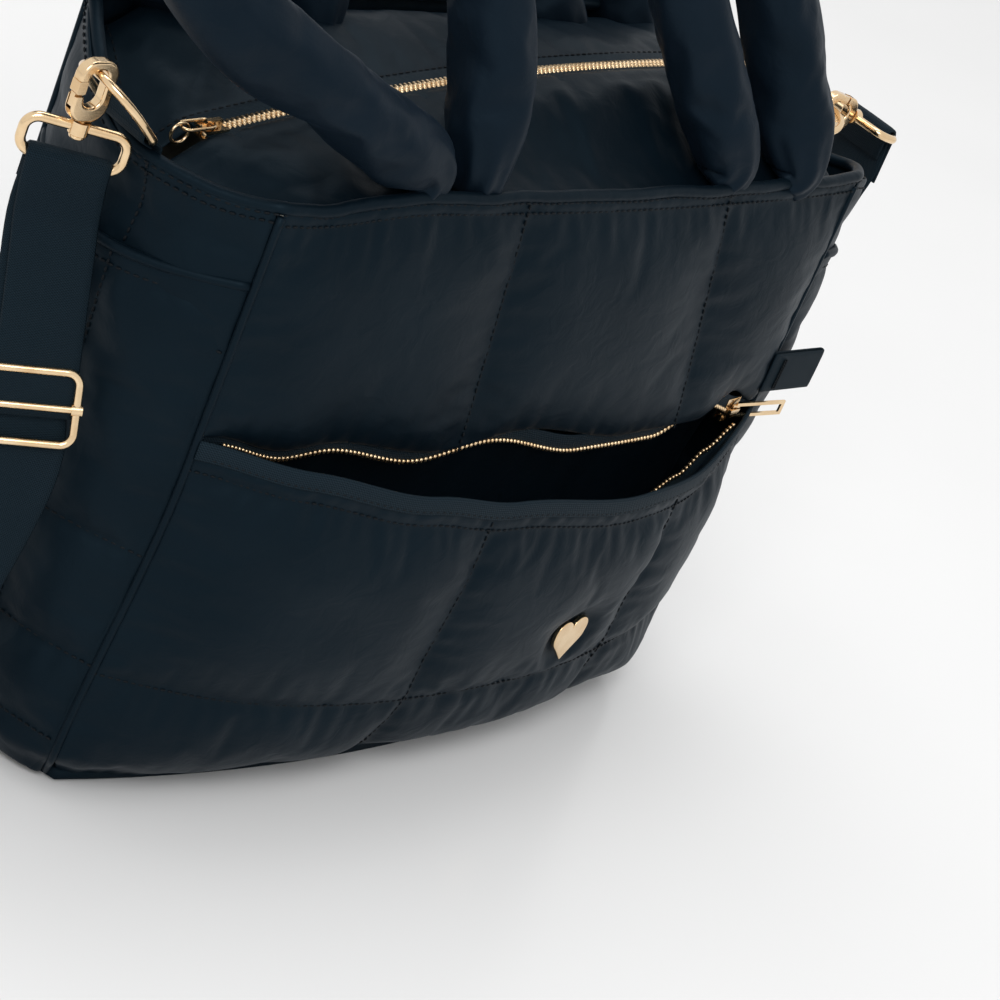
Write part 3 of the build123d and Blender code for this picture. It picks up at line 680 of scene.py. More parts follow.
def upper_place(x, z, out):
    """The upper front; its quilt seams lean to the left as they rise."""
    lean = (0.185 + 0.0015 * x) * dip(x / HALF_W)
    return on_wall(FRONT, x + lean * (RIM_Z - z), z, out)


def pocket_place(x, z, out):
    """The filled pocket: nearly flat across its middle and fullest above its foot."""
    bow = POCKET_FLOOR_BOW + (POCKET_BELLY_BOW - POCKET_FLOOR_BOW) * ease(z / 70.0)
    bow += (POCKET_LIP_BOW - POCKET_BELLY_BOW) * ease((z - 70.0) / 80.0)
    u = x / HALF_W
    slope = 2.5 * bow * abs(u) ** 1.5 / HALF_W
    face = Vector((slope if u > 0 else -slope, -1, 0)).normalized()
    along, tuck = foot_tuck(x, z, HALF_W, 13.0)
    return Vector((along, -HALF_D - bow * (1 - abs(u) ** 2.5), z)) + face * (out + tuck)


def under_badge(x, z):
    """How firmly the sewn badge holds the quilt down at x and z."""
    away = Vector((x - BADGE_MIDDLE.x, z - BADGE_MIDDLE.z)).length
    return 1 - ease((away - 11.0) / 14.0)


def front_seam(x):
    """The pocket's cross seam dips from the left corner to its middle and stays low at the right."""
    return 66.0 - 8.0 * (x / HALF_W) - 8.0 * dip(x / HALF_W)


def seam_lines(sheet):
    lines = [sheet_line(sheet, column=c) for c in sheet["stop_columns"][1:-1]]
    return lines + [sheet_line(sheet, row=r) for r in sheet["stop_rows"][1:-1]]


def build_front():
    top = RIM_Z - 1.0
    upper_levels = [lambda x: upper_edge(x) + 3.5, lambda x: top - 6.0 - corner_drop(x),
                    lambda x: top - corner_drop(x)]
    upper = build_sheet("front_upper_quilt", UPPER_SEAMS, upper_levels, upper_place, SHELL_NYLON,
                        6.0, (3.0, 0.008, 10.0, 3.5))
    thicken(upper, SHELL_THICK)
    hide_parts("front_upper_panel", "front_upper_wadding")
    lower_levels = [at_height(2.0), front_seam, lambda x: lip_edge(x) - 16.0, lambda x: lip_edge(x) - 7.0]
    lower = build_sheet("front_pocket_quilt", POCKET_SEAMS, lower_levels, pocket_place, SHELL_NYLON,
                        6.5, (3.5, 0.012, 11.0, 3.5), under_badge)
    thicken(lower, SHELL_THICK)
    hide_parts("front_pocket_panel", "front_pocket_wadding")
    stitches = stitch_beads("front_quilt_stitches", seam_lines(upper) + seam_lines(lower),
                            lambda p: Vector((0, -0.5, 0)))
    for piece in (upper, lower, stitches):
        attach(piece, ROOT)


# ---------------------------------------------------------------- back, gussets and base
def back_place(x, z, out):
    along, tuck = foot_tuck(x, z, HALF_W, 8.0)
    return on_wall(BACK, along, z, out + tuck)


def build_back():
    columns = [-HALF_W, -BACK_SEAM_X, BACK_SEAM_X, HALF_W]
    top = RIM_Z - 1.0 + REAR_RISE
    levels = [at_height(3.0), lambda x: 72.0 - 20.0 * dip(x / HALF_W), at_height(186.0),
              at_height(top - 8.0), at_height(top)]
    back = build_sheet("back_quilt", columns, levels, back_place, SHELL_NYLON,
                       6.5, (3.5, 0.012, 12.0, 4.5))
    thicken(back, SHELL_THICK)
    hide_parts("back_panel", "back_wadding")
    stitches = stitch_beads("back_quilt_stitches", seam_lines(back), lambda p: Vector((0, 0.5, 0)))
    for piece in (back, stitches):
        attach(piece, ROOT)


def side_rim_height(sign, y):
    """Height of the rim's centre over a gusset: slack in the middle and high at the rear."""
    drop = RIM_CORNER_DROP * ease((-y - 10.0) / 55.0) if sign < 0 else 0.0
    rise = REAR_RISE * ease((y + 20.0) / (RIM_REACH + 20.0))
    return RIM_Z - RIM_SAG * dip(y / RIM_REACH) - drop + rise


def side_flare(sign, y):
    """The right gusset folds out beside the front corner."""
    return 20.0 * exp(-((y + 46.0) / 24.0) ** 2) * dip((y / HALF_D) ** 4) if sign > 0 else 0.0


def gusset_hollow(z):
    """The gusset is drawn in a little between its pocket's mouth and the rim."""
    middle = 0.5 * (SIDE_POCKET[1].z + GUSSET[1].z)
    return 5.0 * exp(-((z - middle) / 16.0) ** 2)


def build_gusset(side):
    w = wall(HALF_D, HALF_W, SIDE_BOWS[0], SIDE_BOWS[1], SIDES[side])
    forward = 1 if side == "left" else -1
    seam = GUSSET_SEAM * forward

    def top(x):
        return side_rim_height(-forward, -forward * x)

    def place(x, z, out):
        hollow = gusset_hollow(z) * dip(x / HALF_D)
        flare = side_flare(-forward, -forward * x) * ease(z / 200.0)
        along, tuck = foot_tuck(x, z, HALF_D, 4.0)
        return on_wall(w, along, z, out + flare - hollow + tuck)

    half = HALF_D - 2.0
    levels = [at_height(3.0), at_height(250.0), lambda x: top(x) - 6.5, lambda x: top(x) - 1.0]
    gusset = build_sheet(f"{side}_gusset_quilt", [-half, seam, half], levels, place, SHELL_NYLON,
                         2.5, (1.5, 0.02, 6.0, 4.5))
    thicken(gusset, SHELL_THICK)
    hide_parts(f"{side}_gusset", f"{side}_gusset_wadding")
    outwards = Vector((-0.5 * forward, 0, 0))
    stitches = stitch_beads(f"{side}_gusset_stitches", seam_lines(gusset), lambda p: outwards)
    for piece in (gusset, stitches):
        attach(piece, ROOT)


def build_side_pocket(side):
    w = wall(HALF_D - 2, HALF_W + 1, POCKET_BOWS[0], POCKET_BOWS[1], SIDES[side])
    forward = 1 if side == "left" else -1
    seam = GUSSET_SEAM * forward
    half = HALF_D - 2.5

    def place(x, z, out):
        flare = side_flare(-forward, -forward * x) * ease(z / 200.0)
        along, tuck = foot_tuck(x, z, HALF_D, 6.0)
        return on_wall(w, along, z, out + flare - 1.0 + tuck)

    def mouth(x):
        return SIDE_POCKET[1].z - 10.0 * dip(x / half)

    levels = [at_height(4.0), at_height(31.0), at_height(76.0), at_height(138.0),
              lambda x: mouth(x) - 9.0, mouth]
    pocket = build_sheet(f"{side}_pocket_quilt", [-half, seam, half], levels, place, SHELL_NYLON,
                         5.0, (3.0, 0.02, 9.0, 4.0))
    thicken(pocket, SHELL_THICK)
    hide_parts(f"{side}_side_pocket")
    outwards = Vector((-0.5 * forward, 0, 0))
    stitches = stitch_beads(f"{side}_pocket_stitches", seam_lines(pocket), lambda p: outwards)
    edge = sheet_line(pocket, row=pocket["rows"] - 1)
    piping = make_tube(f"{side}_pocket_piping", edge, lambda t, a: 2.6, 10, SMOOTH_NYLON)
    for piece in (pocket, stitches, piping):
        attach(piece, ROOT)


def build_corner_welts():
    """The sewn corner seams, a thin welt from the floor to the rim."""
    for side, sx in (("left", -1), ("right", 1)):
        for end, sy in (("front", -1), ("rear", 1)):
            path = []
            for z in range(4, int(side_rim_height(sx, sy * HALF_D)) - 1, 6):
                foot = tuck_under(z, 3.0, 12.0)
                path.append(Vector((sx * (HALF_W + 0.2 + foot), sy * (HALF_D - 0.8 + foot), z)))
            welt = make_tube(f"{side}_{end}_corner_welt", path, lambda t, a: 1.9, 8, SMOOTH_NYLON,
                             up=Vector((0, 1, 0)))
            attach(welt, ROOT)


def plan_ring(inset, z):
    """Plan outline of the bag's foot, drawn in by inset."""
    ring = []
    for x in range(-10, 11):
        ring.append(on_wall(FRONT, x / 10 * (HALF_W - inset), z, -inset))
    for x in range(-3, 4):
        ring.append(Vector((HALF_W - inset + 2 * dip(x / 4), x / 4 * HALF_D, z)))
    for x in range(-10, 11):
        ring.append(on_wall(BACK, x / 10 * (HALF_W - inset), z, -inset))
    for x in range(-3, 4):
        ring.append(Vector((-HALF_W + inset - 2 * dip(x / 4), -x / 4 * HALF_D, z)))
    return ring


def build_base():
    """Padded base on the floor, with its edge rolled up into the walls."""
    rings = [plan_ring(14, 7.0), plan_ring(12, 2.6), plan_ring(16, 0.6), plan_ring(40, 0.1)]
    points = [p for ring in rings for p in ring]
    count = len(rings[0])
    faces = [tuple(reversed(f)) for f in grid_faces(count, len(rings), round_columns=True)]
    points.append(Vector((0, 0, 0.1)))
    last = (len(rings) - 1) * count
    faces += [(last + (i + 1) % count, last + i, len(points) - 1) for i in range(count)]
    base = make_piece("base_panel_sewn", points, faces, SMOOTH_NYLON)
    solid = base.modifiers.new("Thickness", "SOLIDIFY")
    solid.thickness = 2.0 * MM
    solid.offset = 1.0
    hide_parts("base_panel", "base_board")
    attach(base, ROOT)


# ---------------------------------------------------------------- rim
def rim_loop():
    """Centre line of the rolled rim, right round the mouth."""
    loop = []
    for k in range(41):
        x = -RIM_END_X + 2 * RIM_END_X * k / 40
        slack = 1.3 * noise.noise(Vector((x / 34, 2.0, 0.0)))
        loop.append(on_wall(FRONT, x, RIM_Z, 0.8 - PIPING_R) + Vector((0, slack, slack - corner_drop(x))))
    loop += side_rim(1)
    for k in range(41):
        x = -RIM_END_X + 2 * RIM_END_X * k / 40
        loop.append(on_wall(BACK, x, RIM_Z + REAR_RISE, 0.8 - PIPING_R))
    loop += side_rim(-1)
    return loop


def side_rim(sign):
    """The rim over a gusset flares out and sags in the middle."""
    line = []
    for k in range(17):
        y = sign * (-RIM_REACH + 2 * RIM_REACH * k / 16)
        x = HALF_W + (RIM_SIDE_X - HALF_W) * dip(y / RIM_REACH) + side_flare(sign, y)
        line.append(Vector((sign * x, y, side_rim_height(sign, y))))
    return line


def build_rim():
    loop = rim_loop()

    def radius(t, a):
        return PIPING_R + 0.3 * noise.noise(Vector((t * 160, cos(a), sin(a))))

    path = smooth_path(loop + [loop[0]], 3.0)[:-1]
    rim = make_tube("rim_piping", path, radius, 14, SMOOTH_NYLON, closed=True)
    subdivide(rim, 1)
    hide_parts("rim_binding")
    stitched = []
    for spot in path:
        outward = Vector((spot.x / HALF_W, spot.y / HALF_D, 0)).normalized()
        stitched.append(spot + outward * (PIPING_R - 0.7) + Vector((0, 0, -2.2)))
    stitches = stitch_beads("rim_stitches", [stitched], lambda p: Vector((p.x, p.y, 0)).normalized() * 0.3)
    for piece in (rim, stitches):
        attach(piece, ROOT)


# ---------------------------------------------------------------- linings
PANEL_LOW = 240.0              # below this the front lining stands back behind the zip pocket


def lining_end(sign, z, extra):
    """One end of a lining ring, kept below the sagging side rim."""
    line = []
    for i in range(-6, 6):
        y = sign * i / 6 * (HALF_D - 14)
        y = max(y, 28.5 - HALF_D) if z <= PANEL_LOW else y
        bow = (SIDE_BOWS[0][1] + (SIDE_BOWS[1][1] - SIDE_BOWS[0][1]) * z / SIDE_BOWS[1][0]) * dip(i / 6)
        line.append(Vector((sign * (HALF_W - 10 + bow - extra), y, min(z, side_rim_height(sign, y) - 4))))
    return line


def build_lining():
    """One lining sack: four walls and a floor, seen through the open left end."""
    levels = [326.0, 300.0, 262.0, 225.0, 120.0, 40.0, 12.0, 8.0]
    rings = []
    for k, z in enumerate(levels):
        extra = 14.0 if k == len(levels) - 1 else 0.0
        ring = []
        for i in range(-12, 12):
            inset = 12.0 if z > PANEL_LOW else 28.5
            top = min(z, RIM_Z - 8.0 - corner_drop(i / 12 * HALF_W))
            ring.append(on_wall(FRONT, i / 12 * (HALF_W - 14 - extra), top, -inset - extra))
        ring += lining_end(1, z, extra)
        for i in range(-12, 12):
            high = z + REAR_RISE if k == 0 else z
            ring.append(on_wall(BACK, i / 12 * (HALF_W - 14 - extra), high, -10.0 - extra))
        ring += lining_end(-1, z, extra)
        for p in ring:
            p += Vector((0.0, 2.0, 0.0)) * noise.noise(Vector((p.x / 30, p.z / 24, 3.0)))
        rings.append(ring)
    count = len(rings[0])
    points = [p for ring in rings for p in ring]
    points.append(Vector((0, 0, 8.0)))
    faces = [tuple(reversed(f)) for f in grid_faces(count, len(rings), round_columns=True)]
    last = (len(rings) - 1) * count
    faces += [(last + (i + 1) % count, last + i, len(points) - 1) for i in range(count)]
    sack = make_piece("lining_sack", points, faces, LINING)
    thicken(sack, 0.8)
    linings = ("front_lining", "back_lining", "left_gusset_lining", "right_gusset_lining", "base_lining")
    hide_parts(*linings)
    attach(sack, ROOT)


def build_pocket_lining():
    """The front pocket's own bag, dark inside the open zip."""
    half = HALF_W - 7.0
    front_rows = [(5.0, lambda x: lip_edge(x) - 8.0), (9.0, at_height(120.0)), (9.0, at_height(40.0)),
                  (12.0, at_height(24.0))]
    back_rows = [(22.0, at_height(24.0)), (25.0, at_height(40.0)), (25.5, at_height(120.0)),
                 (22.0, at_height(170.0)), (9.0, lambda x: upper_edge(x) + 6.0)]
    rows = []
    for k in range(61):
        x = -half + 2 * half * k / 60
        crease = 1.2 * noise.noise(Vector((x / 16, 0.0, 5.0)))
        column = [pocket_place(x, height(x), crease - inset) for inset, height in front_rows]
        column += [on_wall(FRONT, x, height(x), crease - inset) for inset, height in back_rows]
        rows.append(column)
    points = [p for row in rows for p in row]
    lining = make_piece("front_pocket_sack", points, grid_faces(len(rows[0]), len(rows)), SMOOTH_NYLON)
    thicken(lining, 0.8)
    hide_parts("front_pocket_lining")
    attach(lining, ROOT)


# ---------------------------------------------------------------- top closure
WING_LEFT = HALF_W + 8.0       # the wings' free left edge stands past the end of the zip
WING_RIGHT = HALF_W - 12.0
ZIP_CROWN = 12.0               # the zip arches up this much between its ends
ZIP_END_DROOP = 12.0           # the wings' loose left end hangs down
WING_INNER = 4.5
WING_OUTER = 70.0


def wing_height(x, reach, sign):
    """Height of the closure over the bag: from the sloping zip down to just inside the rim."""
    top = CLOSURE_Z + CLOSURE_SLOPE * x + ZIP_CROWN * dip(x / ZIP_HALF)
    inside = RIM_Z - 7.0 - corner_drop(x) if sign < 0 else RIM_Z - 5.0 + REAR_RISE
    droop = ZIP_END_DROOP * ease((-x - ZIP_HALF) / 30.0)
    return top - droop + (inside - top) * ease((reach - 10) / 62.0)


def zip_height(x):
    return wing_height(x, 0.0, -1)


def build_wing(name, node, sign):
    """One wing of the closure: held along the zip and the rim, its fabric slack between them."""

    def place(x, reach, out):
        share = (reach - WING_INNER) / (WING_OUTER - WING_INNER)
        left_cut = 14.0 * share
        stretch = x + left_cut * ease((-x - 150.0) / 70.0)
        return Vector((stretch, sign * reach, wing_height(x, reach, sign) + out))

    columns = [-WING_LEFT, -WING_LEFT + 7.0, WING_RIGHT]
    levels = [at_height(WING_INNER), at_height(WING_INNER + 9.0), at_height(WING_OUTER)]
    wing = build_sheet(name, columns, levels, place, SMOOTH_NYLON, 2.5, (0.8, 0.015, 7.0, 4.5))
    thicken(wing, 1.4)
    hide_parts(node)
    seams = [sheet_line(wing, row=wing["stop_rows"][1]), sheet_line(wing, column=wing["stop_columns"][1])]
    stitches = stitch_beads(f"{name}_stitches", seams, lambda p: Vector((0, 0, 0.4)))
    for piece in (wing, stitches):
        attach(piece, ROOT)


# ---------------------------------------------------------------- zips
TOOTH_PITCH = 2.9


def tooth_shape(points, faces, centre, along, inward, face_out, length, width, depth):
    """One metal tooth: a rounded block with a nib towards the other row."""
    base = len(points)
    profile = [(-0.5, 0.5), (-0.5, -0.3), (-0.25, -0.5), (0.25, -0.5), (0.5, -0.3), (0.5, 0.5)]
    for share, size in ((-0.5, 0.7), (-0.25, 1.0), (0.25, 1.0), (0.5, 0.7)):
        for u, v in profile:
            points.append(centre + along * (u * width * size) - inward * (v * length * size)
                          + face_out * (share * depth))
    count = len(profile)
    for r in range(3):
        for s in range(count):
            t = (s + 1) % count
            low = base + r * count
            faces.append((low + s, low + t, low + count + t, low + count + s))
    faces.append(tuple(base + s for s in reversed(range(count))))
    faces.append(tuple(base + 3 * count + s for s in range(count)))


def tooth_row(name, line, inward, face_out, shift=0.0):
    """Teeth along a line; inward(point) points at the other row."""
    points = []
    faces = []
    for spot, along in even_points(line, TOOTH_PITCH):
        tooth_shape(points, faces, spot + along * shift, along, inward(spot), face_out(spot), 2.8, 1.5, 2.4)
    return make_piece(name, points, faces, GOLD_TEETH)


def zip_line(y, rise=0.0):
    xs = [-ZIP_HALF - 4 + k * 4.0 for k in range(int((2 * ZIP_HALF + 4) / 4))]
    return [Vector((x, y, zip_height(x) + rise)) for x in xs]


def build_main_zip():
    up = Vector((0, 0, 1))
    for name, sign in (("front", -1), ("rear", 1)):
        line = zip_line(sign * 2.1, 0.9)
        row = tooth_row(f"main_{name}_row", line, lambda p, s=sign: Vector((0, -s, 0)), lambda p: up)
        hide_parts(f"main_zip_{name}_teeth")
        path = zip_line(sign * 6.6, 0.9)
        across = [Vector((0, 1, 0))] * len(path)
        tape = make_ribbon(f"main_{name}_tape", path, across, 9.0, 0.9, TAPE)
        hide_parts(f"main_zip_{name}_tape")
        for piece in (row, tape):
            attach(piece, ROOT)
    build_closed_chain()


def build_closed_chain():
    """The meshed teeth along the zip, alternating from one row's side to the other's."""
    up = Vector((0, 0, 1))
    points = []
    faces = []
    line = [p for p in zip_line(0.0, 1.3) if p.x > -ZIP_HALF + 6]
    spots = even_points(line, TOOTH_PITCH / 2)
    for k, (spot, along) in enumerate(spots):
        side = 1 if k % 2 else -1
        centre = spot + Vector((0, side * 0.75, 0))
        tooth_shape(points, faces, centre, along, Vector((0, -side, 0)), up, 3.2, 1.35, 2.6)
    chain = make_piece("main_closed_chain", points, faces, GOLD_TEETH)
    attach(chain, ROOT)
    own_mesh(chain)


def span_points(half, step=3.0):
    count = int(2 * half / step)
    return [-half + 2 * half * k / count for k in range(count + 1)]


def front_line(height_at, inset, half):
    return [on_wall(FRONT, x, height_at(x), -inset) for x in span_points(half)]


def lip_line(below, out, half):
    """A line on the pocket's face, a given distance below its lip."""
    return [pocket_place(x, lip_edge(x) - below, out) for x in span_points(half)]


def out_of_front(p):
    return Vector((p.x * 0.25 / HALF_W, -1, 0)).normalized()


def build_pocket_zip():
    half = POCKET_ZIP_HALF - 1.0
    upper = tooth_row("pocket_upper_row", front_line(lambda x: upper_edge(x) - 1.2, 1.6, half),
                      lambda p: Vector((0, 0, -1)), out_of_front)
    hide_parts("pocket_zip_upper_teeth")
    upper_path = front_line(lambda x: upper_edge(x) + 3.6, 2.0, HALF_W - 1.0)
    upper_tape = make_ribbon("pocket_upper_tape", upper_path, [Vector((0, 0, 1))] * len(upper_path), 9.0, 0.9,
                             TAPE)
    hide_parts("pocket_zip_upper_tape")
    for piece in (upper, upper_tape):
        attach(piece, ROOT)
    build_pocket_lip(half)


def lip_facing(half):
    """Tape turned in from the lip to the lower row, which hangs behind it."""
    rows = []
    for x in span_points(half + 5):
        edge = pocket_place(x, lip_edge(x) - 1.5, -1.0)
        row = on_wall(FRONT, x, lower_row(x) - 2.0, 3.0)
        sag = Vector((0, 0, -4.0))
        rows.append([edge, edge.lerp(row, 0.35) + sag, edge.lerp(row, 0.7) + sag, row])
    points = [p for row in rows for p in row]
    uvs = [(k % 4 * 6.0, k // 4 * 3.0) for k in range(len(points))]
    return make_piece("pocket_lip_facing", points, grid_faces(4, len(rows)), TAPE, uvs)


def build_pocket_lip(half):
    """Lower zip row, the lip's folded edge and its facing, with stitches along the lip."""
    row = [on_wall(FRONT, x, lower_row(x), 3.0) for x in span_points(half)]
    lower = tooth_row("pocket_lower_row", row, lambda p: Vector((0, 0, 1)), out_of_front)
    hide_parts("pocket_zip_lower_teeth")
    path = lip_line(4.5, 0.4, HALF_W - 0.5)
    fold = make_ribbon("pocket_lip_fold", path, [Vector((0, 0, 1))] * len(path), 10.0, 2.6, TAPE)
    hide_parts("pocket_zip_lower_tape")
    facing = lip_facing(half)
    for piece in (lower, facing):
        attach(piece, ROOT)
        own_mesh(piece)
    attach(fold, ROOT)
    stitches = stitch_beads("pocket_lip_stitches", [lip_line(7.6, 0.9, half + 8)],
                            lambda p: out_of_front(p) * 0.5)
    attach(stitches, ROOT)


# ---------------------------------------------------------------- handles
HANDLE_R = 20.0
FOOT_Z = 357.0
FOOT_Y = 66.0
OUTER_HANDLE = [
    (-121, 0, 0), (-188, 8, 17), (-240, 24, 44), (-272, 52, 98), (-246, 84, 165),
    (-146, 100, 205), (-6, 100, 210), (80, 78, 160), (118, 42, 86), (158, 0, 0),
]
INNER_HANDLE = [
    (-80, 0, 0), (-84, 13, 34), (-92, 34, 84), (-84, 60, 134), (-44, 78, 160),
    (0, 74, 150), (32, 52, 106), (60, 26, 54), (100, 0, 0),
]
REAR_LEAN = 15.0
FOOT_DROP = 27.0               # the gathered foot goes down inside the rim


def handle_path(points, sign):
    """Handle centre line with both feet carried down inside the rim."""
    lean = Matrix.Rotation(radians(-REAR_LEAN if sign > 0 else 0.0), 3, "X")
    base = Vector((0, sign * FOOT_Y, FOOT_Z))
    spots = [base + lean @ Vector(p) for p in points]
    left = [spots[0] + Vector((3, 0, -FOOT_DROP)), spots[0] + Vector((0, 0, -10))]
    right = [spots[-1] + Vector((0, 0, -10)), spots[-1] + Vector((-3, 0, -FOOT_DROP))]
    return smooth_path(left + spots[1:-1] + right, 4.5)


def handle_radius(t, a, length, seed):
    """Full tube that pleats and narrows at its feet, with slack creases along it."""
    foot = min(t, 1 - t) * length
    pinch = 0.62 + 0.38 * ease(foot / 42.0)
    pleat = 1.6 * (1 - ease(foot / 55.0)) * cos(9 * a + seed)
    crease = 1.1 * noise.noise(Vector((t * length / 24, 1.4 * cos(a), 1.4 * sin(a) + seed)))
    return HANDLE_R * pinch + pleat + crease


def build_handle(name, points, sign, seed):
    path = handle_path(points, sign)
    length = 4.5 * len(path)
    sides = 30
    tube = make_tube(name, path, lambda t, a: handle_radius(t, a, length, seed), sides, HANDLE_NYLON)
    count = len(path)
    held = [k * sides + s for k in (0, 1, count - 2, count - 1) for s in range(sides)]
    held += [k * sides for k in range(count)]
    settle(tube, held, 2.0, 0.025, 16, 4.0)
    subdivide(tube, 1)
    seam = [unslump(tube.data.vertices[k * sides].co / MM) for k in range(len(path))]
    stitches = stitch_beads(f"{name}_seam", [seam[6:-6]], lambda p: Vector(), radius=0.45)
    for piece in (tube, stitches):
        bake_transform(piece)
    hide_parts(name)
    tube.name = f"{name}_tube"


# ---------------------------------------------------------------- shoulder strap
STRAP_W = 38.0
STRAP_THICK = 2.2
EYE_TURN = 58.0
HANG_LEAN = 0.29               # the left end swings forward this much for each mm down


def strap_bar(side):
    """The place of the swivel eye's lower bar, which the strap is looped round."""
    lo, hi = box_mm(f"{side}_strap_end")
    return Vector(((lo.x + hi.x) / 2, 0, hi.z - 4.0))


def strap_width(t, tangent):
    turn = radians(EYE_TURN)
    upright = Vector((-sin(turn), cos(turn), 0)) if t < 0.5 else Vector((0, -1, 0))
    flat = Vector((0, 0, 1)).cross(tangent)
    flat = -flat.normalized() if flat.length > 0.2 else upright
    hang = ease((0.255 - min(t, 1 - t)) / 0.12)
    return (upright * hang + flat * (1 - hang)).normalized()


def make_strap_piece(name, path, shares):
    across = []
    for k, spot in enumerate(path):
        before = path[max(0, k - 1)]
        after = path[min(len(path) - 1, k + 1)]
        across.append(strap_width(shares[k], (after - before).normalized()))
    return make_ribbon(name, path, across, STRAP_W, STRAP_THICK, WEBBING)


def left_hang(bar, down):
    """A place on the left end of the strap, a given distance below the eye's bar."""
    return bar + Vector((0, -HANG_LEAN * max(0.0, down - 28.0), -down))


def strap_run(left, right):
    """The long webbing from eye to eye: down, round behind the bag on the floor, and up."""
    floor_z = STRAP_THICK / 2 + 0.3
    return [left_hang(left, down) for down in (4, 30, 70, 110, 140)] + [
        Vector((left.x - 14, -37, 120)), Vector((left.x - 34, -40, 70)), Vector((left.x - 46, -30, 22)),
        Vector((left.x - 50, 30, floor_z)),
        Vector((left.x + 10, 165, floor_z)), Vector((0, 215, floor_z)), Vector((170, 190, floor_z)),
        Vector((250, 150, 36)), Vector((right.x - 18, 90, 130)), Vector((right.x - 2, 18, 235)),
        right + Vector((0, 0, -30)), right + Vector((0, 0, -4)),
    ]


def build_strap():
    left = strap_bar("left")
    right = strap_bar("right")
    path = smooth_path(strap_run(left, right), 6.0)
    for spot in path:
        spot.z = max(spot.z, STRAP_THICK / 2 + 0.3)
    count = len(path)
    shares = [k / (count - 1) for k in range(count)]
    cuts = {"left_hang": (0, int(count * 0.16)), "floor_run": (int(count * 0.16), int(count * 0.84)),
            "right_hang": (int(count * 0.84), count - 1)}
    for part, (a, b) in cuts.items():
        piece = make_strap_piece(f"strap_{part}", path[a:b + 1], shares[a:b + 1])
        if part == "floor_run":
            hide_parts("strap_webbing")
            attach(piece, ROOT)
            continue
        side = part.split("_")[0]
        hang_blend(piece, side)
        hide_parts(f"{side}_strap_end")
    build_strap_fold("left", left, 118.0)
    build_strap_fold("right", right, 34.0)


def hang_blend(piece, side):
    """Strap that hangs from a clip: its placement is baked into its mesh."""
    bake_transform(piece)


def build_strap_fold(side, bar, drop):
    """The strap's doubled end: over the eye's bar and down in front, a little out of line."""
    turn = radians(EYE_TURN) if side == "left" else 0.0
    outward = Vector((-cos(turn), -sin(turn), 0)) if side == "left" else Vector((1, 0, 0))
    across = Vector((-sin(turn), cos(turn), 0))
    aside = across * (-3.0 if side == "left" else -1.0)
    reach = 3.9
    path = [bar - outward * reach + Vector((0, 0, -14)), bar - outward * reach]
    for k in range(1, 8):
        a = pi * k / 8
        path.append(bar - outward * (reach * cos(a)) + Vector((0, 0, reach * sin(a))))
    path.append(bar + outward * reach)
    steps = int(drop / 6)
    for k in range(1, steps + 1):
        sway = ease(k / 6)
        lean = left_hang(Vector(), 6.0 * k) if side == "left" else Vector((0, 0, -6.0 * k))
        path.append(bar + outward * (reach - 0.8 * sway) + aside * sway + lean)
    fold = make_ribbon(f"strap_{side}_fold", path, [across] * len(path), STRAP_W, STRAP_THICK,
                       WEBBING)
    hang_blend(fold, side)
    if side == "right":
        lines = [[bar + outward * 4.6 + across * u + Vector((0, 0, -12)),
                  bar + outward * 4.6 + across * u + Vector((0, 0, -30))] for u in (-15, 15)]
        box = stitch_beads("strap_right_tack", lines, lambda p: outward * 0.3)
        hang_blend(box, side)


def gusset_inside(z):
    """How far out a tab sewn inside a gusset lies, in the middle of the gusset."""
    (low, low_bow), (high, high_bow) = SIDE_BOWS
    bow = low_bow + (high_bow - low_bow) * (z - low) / (high - low)
    return HALF_W + bow - gusset_hollow(z) - 5.0


def build_ring_tabs():
    """Webbing tabs sewn inside the gussets, looped over the D-rings' bars."""
    for side, sign in (("left", -1), ("right", 1)):
        lo, hi = box_mm(f"{side}_ring_tab")
        bar = Vector((sign * (max(hi.x, -lo.x) - 4.2), 0, hi.z - 4.2))
        out = Vector((sign, 0, 0))
        path = []
        for k in range(8):
            z = lo.z + k * (bar.z - lo.z) / 8
            inside = min(gusset_inside(z), RIM_SIDE_X - PIPING_R - 1.2)
            over = ease((z - side_rim_height(sign, 0) - PIPING_R) / 6.0)
            x = inside + (abs(bar.x) - 3.4 - inside) * over
            path.append(slump(Vector((sign * x, 0, z))))
        for k in range(9):
            a = radians(-20 + 245 * k / 8)
            path.append(bar - out * (3.4 * cos(a)) + Vector((0, 0, 3.4 * sin(a))))
        path.append(bar + Vector((-3.0 * sign, 0, -5)))
        tab = make_ribbon(f"{side}_ring_webbing", path, [Vector((0, 1, 0))] * len(path), 35.0, 1.3,
                          WEBBING)
        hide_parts(f"{side}_ring_tab")
        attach(tab, ROOT)


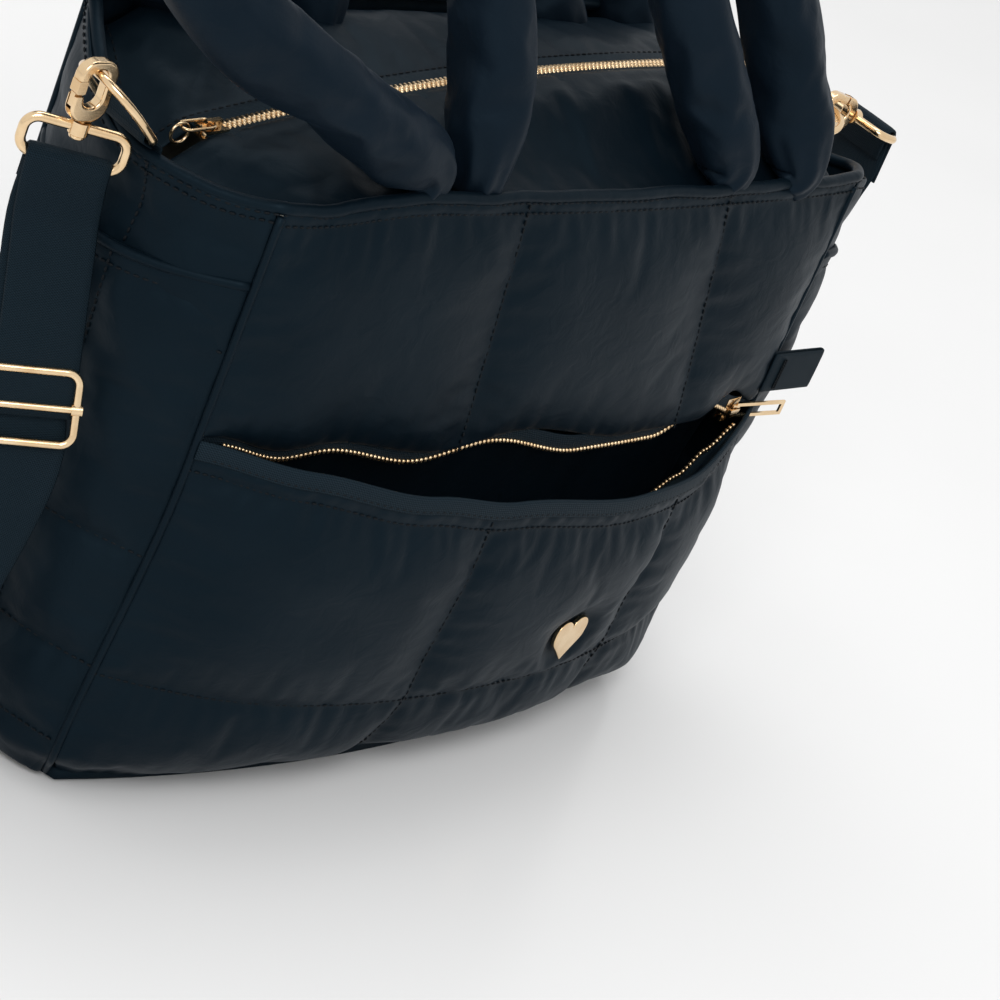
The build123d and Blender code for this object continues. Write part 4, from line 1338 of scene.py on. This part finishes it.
def build_side_tab():
    """Short folded webbing tab on the right front corner seam, bar-tacked at its root."""
    lo, hi = box_mm("right_side_tab")
    y = (lo.y + hi.y) / 2
    z = (lo.z + hi.z) / 2
    height = hi.z - lo.z
    tip = hi.x - 1.5
    path = [Vector((lo.x + (tip - lo.x) * k / 10, y + 1.3, z)) for k in range(11)]
    for k in range(1, 6):
        a = pi * k / 6
        path.append(Vector((tip + 1.2 * sin(a), y + 1.3 * cos(a), z)))
    path += [Vector((tip + (lo.x - tip) * k / 10, y - 1.2, z)) for k in range(11)]
    across = [Vector((0, 0, 1))] * len(path)
    tab = make_ribbon("right_corner_tab", path, across, height, 1.5, WEBBING)
    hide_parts("right_side_tab")
    lines = []
    for x in (lo.x + 9.0, lo.x + 10.6):
        lines.append([Vector((x, y - 2.1, lo.z + 3)), Vector((x, y - 2.1, hi.z - 3))])
    tack = stitch_beads("right_tab_tack", lines, lambda p: Vector((0, -0.4, 0)), 1.6, 1.5, 0.6)
    for piece in (tab, tack):
        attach(piece, ROOT)


# ---------------------------------------------------------------- kept hardware
def finish_hardware():
    """Every CAD node that stays in view is polished metal."""
    for name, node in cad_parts.items():
        if node.hide_render:
            continue
        node.data.materials.clear()
        node.data.materials.append(GOLD)


# ---------------------------------------------------------------- stage, light and camera
def aim(obj, target):
    obj.rotation_mode = "QUATERNION"
    obj.rotation_quaternion = (target - obj.location).to_track_quat("-Z", "Y")


def add_area(name, place, target, size, power):
    lamp = bpy.data.lights.new(name, "AREA")
    lamp.shape = "RECTANGLE"
    lamp.size = size[0]
    lamp.size_y = size[1]
    lamp.energy = power
    obj = bpy.data.objects.new(name, lamp)
    obj.location = place
    bpy.context.scene.collection.objects.link(obj)
    aim(obj, Vector(target))


def build_stage():
    mesh = bpy.data.meshes.new("studio_floor")
    span = 12.0
    corners = [(-span, -span, 0), (span, -span, 0), (span, span, 0), (-span, span, 0)]
    mesh.from_pydata(corners, [], [(0, 1, 2, 3)])
    floor = bpy.data.objects.new("studio_floor", mesh)
    floor.location.z = -0.0004
    floor.data.materials.append(floor_material())
    bpy.context.scene.collection.objects.link(floor)
    world = bpy.data.worlds.new("studio")
    world.use_nodes = True
    sky = world.node_tree.nodes["Background"]
    sky.inputs["Color"].default_value = (1, 1, 1, 1)
    sky.inputs["Strength"].default_value = 0.9
    bpy.context.scene.world = world
    add_area("key", (-1.6, -1.2, 2.0), (0, 0, 0.2), (1.2, 1.2), 26)
    add_area("top", (0.3, 0.6, 2.4), (0, 0, 0.2), (1.6, 1.0), 16)
    bpy.context.scene.view_settings.view_transform = "Standard"


def build_camera():
    """Seen from the front left and above, rolled so that the bag leans to the upper right."""
    azimuth = radians(-54.0)
    elevation = radians(26.7)
    roll = radians(23.7)
    distance = 1.5
    back = Vector((sin(azimuth) * cos(elevation), -cos(azimuth) * cos(elevation), sin(elevation)))
    target = Vector((15, -85, 156)) * MM
    camera = bpy.data.objects.new("camera", bpy.data.cameras.new("camera"))
    camera.data.lens = 105.7
    camera.data.sensor_width = 36.0
    camera.location = target + back * distance
    camera.rotation_mode = "QUATERNION"
    view = (-back).to_track_quat("-Z", "Y")
    camera.rotation_quaternion = view @ Matrix.Rotation(roll, 3, "Z").to_quaternion()
    bpy.context.scene.collection.objects.link(camera)
    bpy.context.scene.camera = camera


build_front()
build_back()
for side_name in SIDES:
    build_gusset(side_name)
    build_side_pocket(side_name)
build_corner_welts()
build_base()
build_rim()
build_lining()
build_pocket_lining()
build_wing("front_closure_wing", "closure_front_wing", -1)
build_wing("rear_closure_wing", "closure_rear_wing", 1)
build_main_zip()
build_pocket_zip()
build_handle("front_outer_handle", OUTER_HANDLE, -1, 1.0)
build_handle("front_inner_handle", INNER_HANDLE, -1, 2.0)
build_handle("rear_outer_handle", OUTER_HANDLE, 1, 3.0)
build_handle("rear_inner_handle", INNER_HANDLE, 1, 4.0)
build_strap()
build_ring_tabs()
build_side_tab()
finish_hardware()
build_stage()
build_camera()
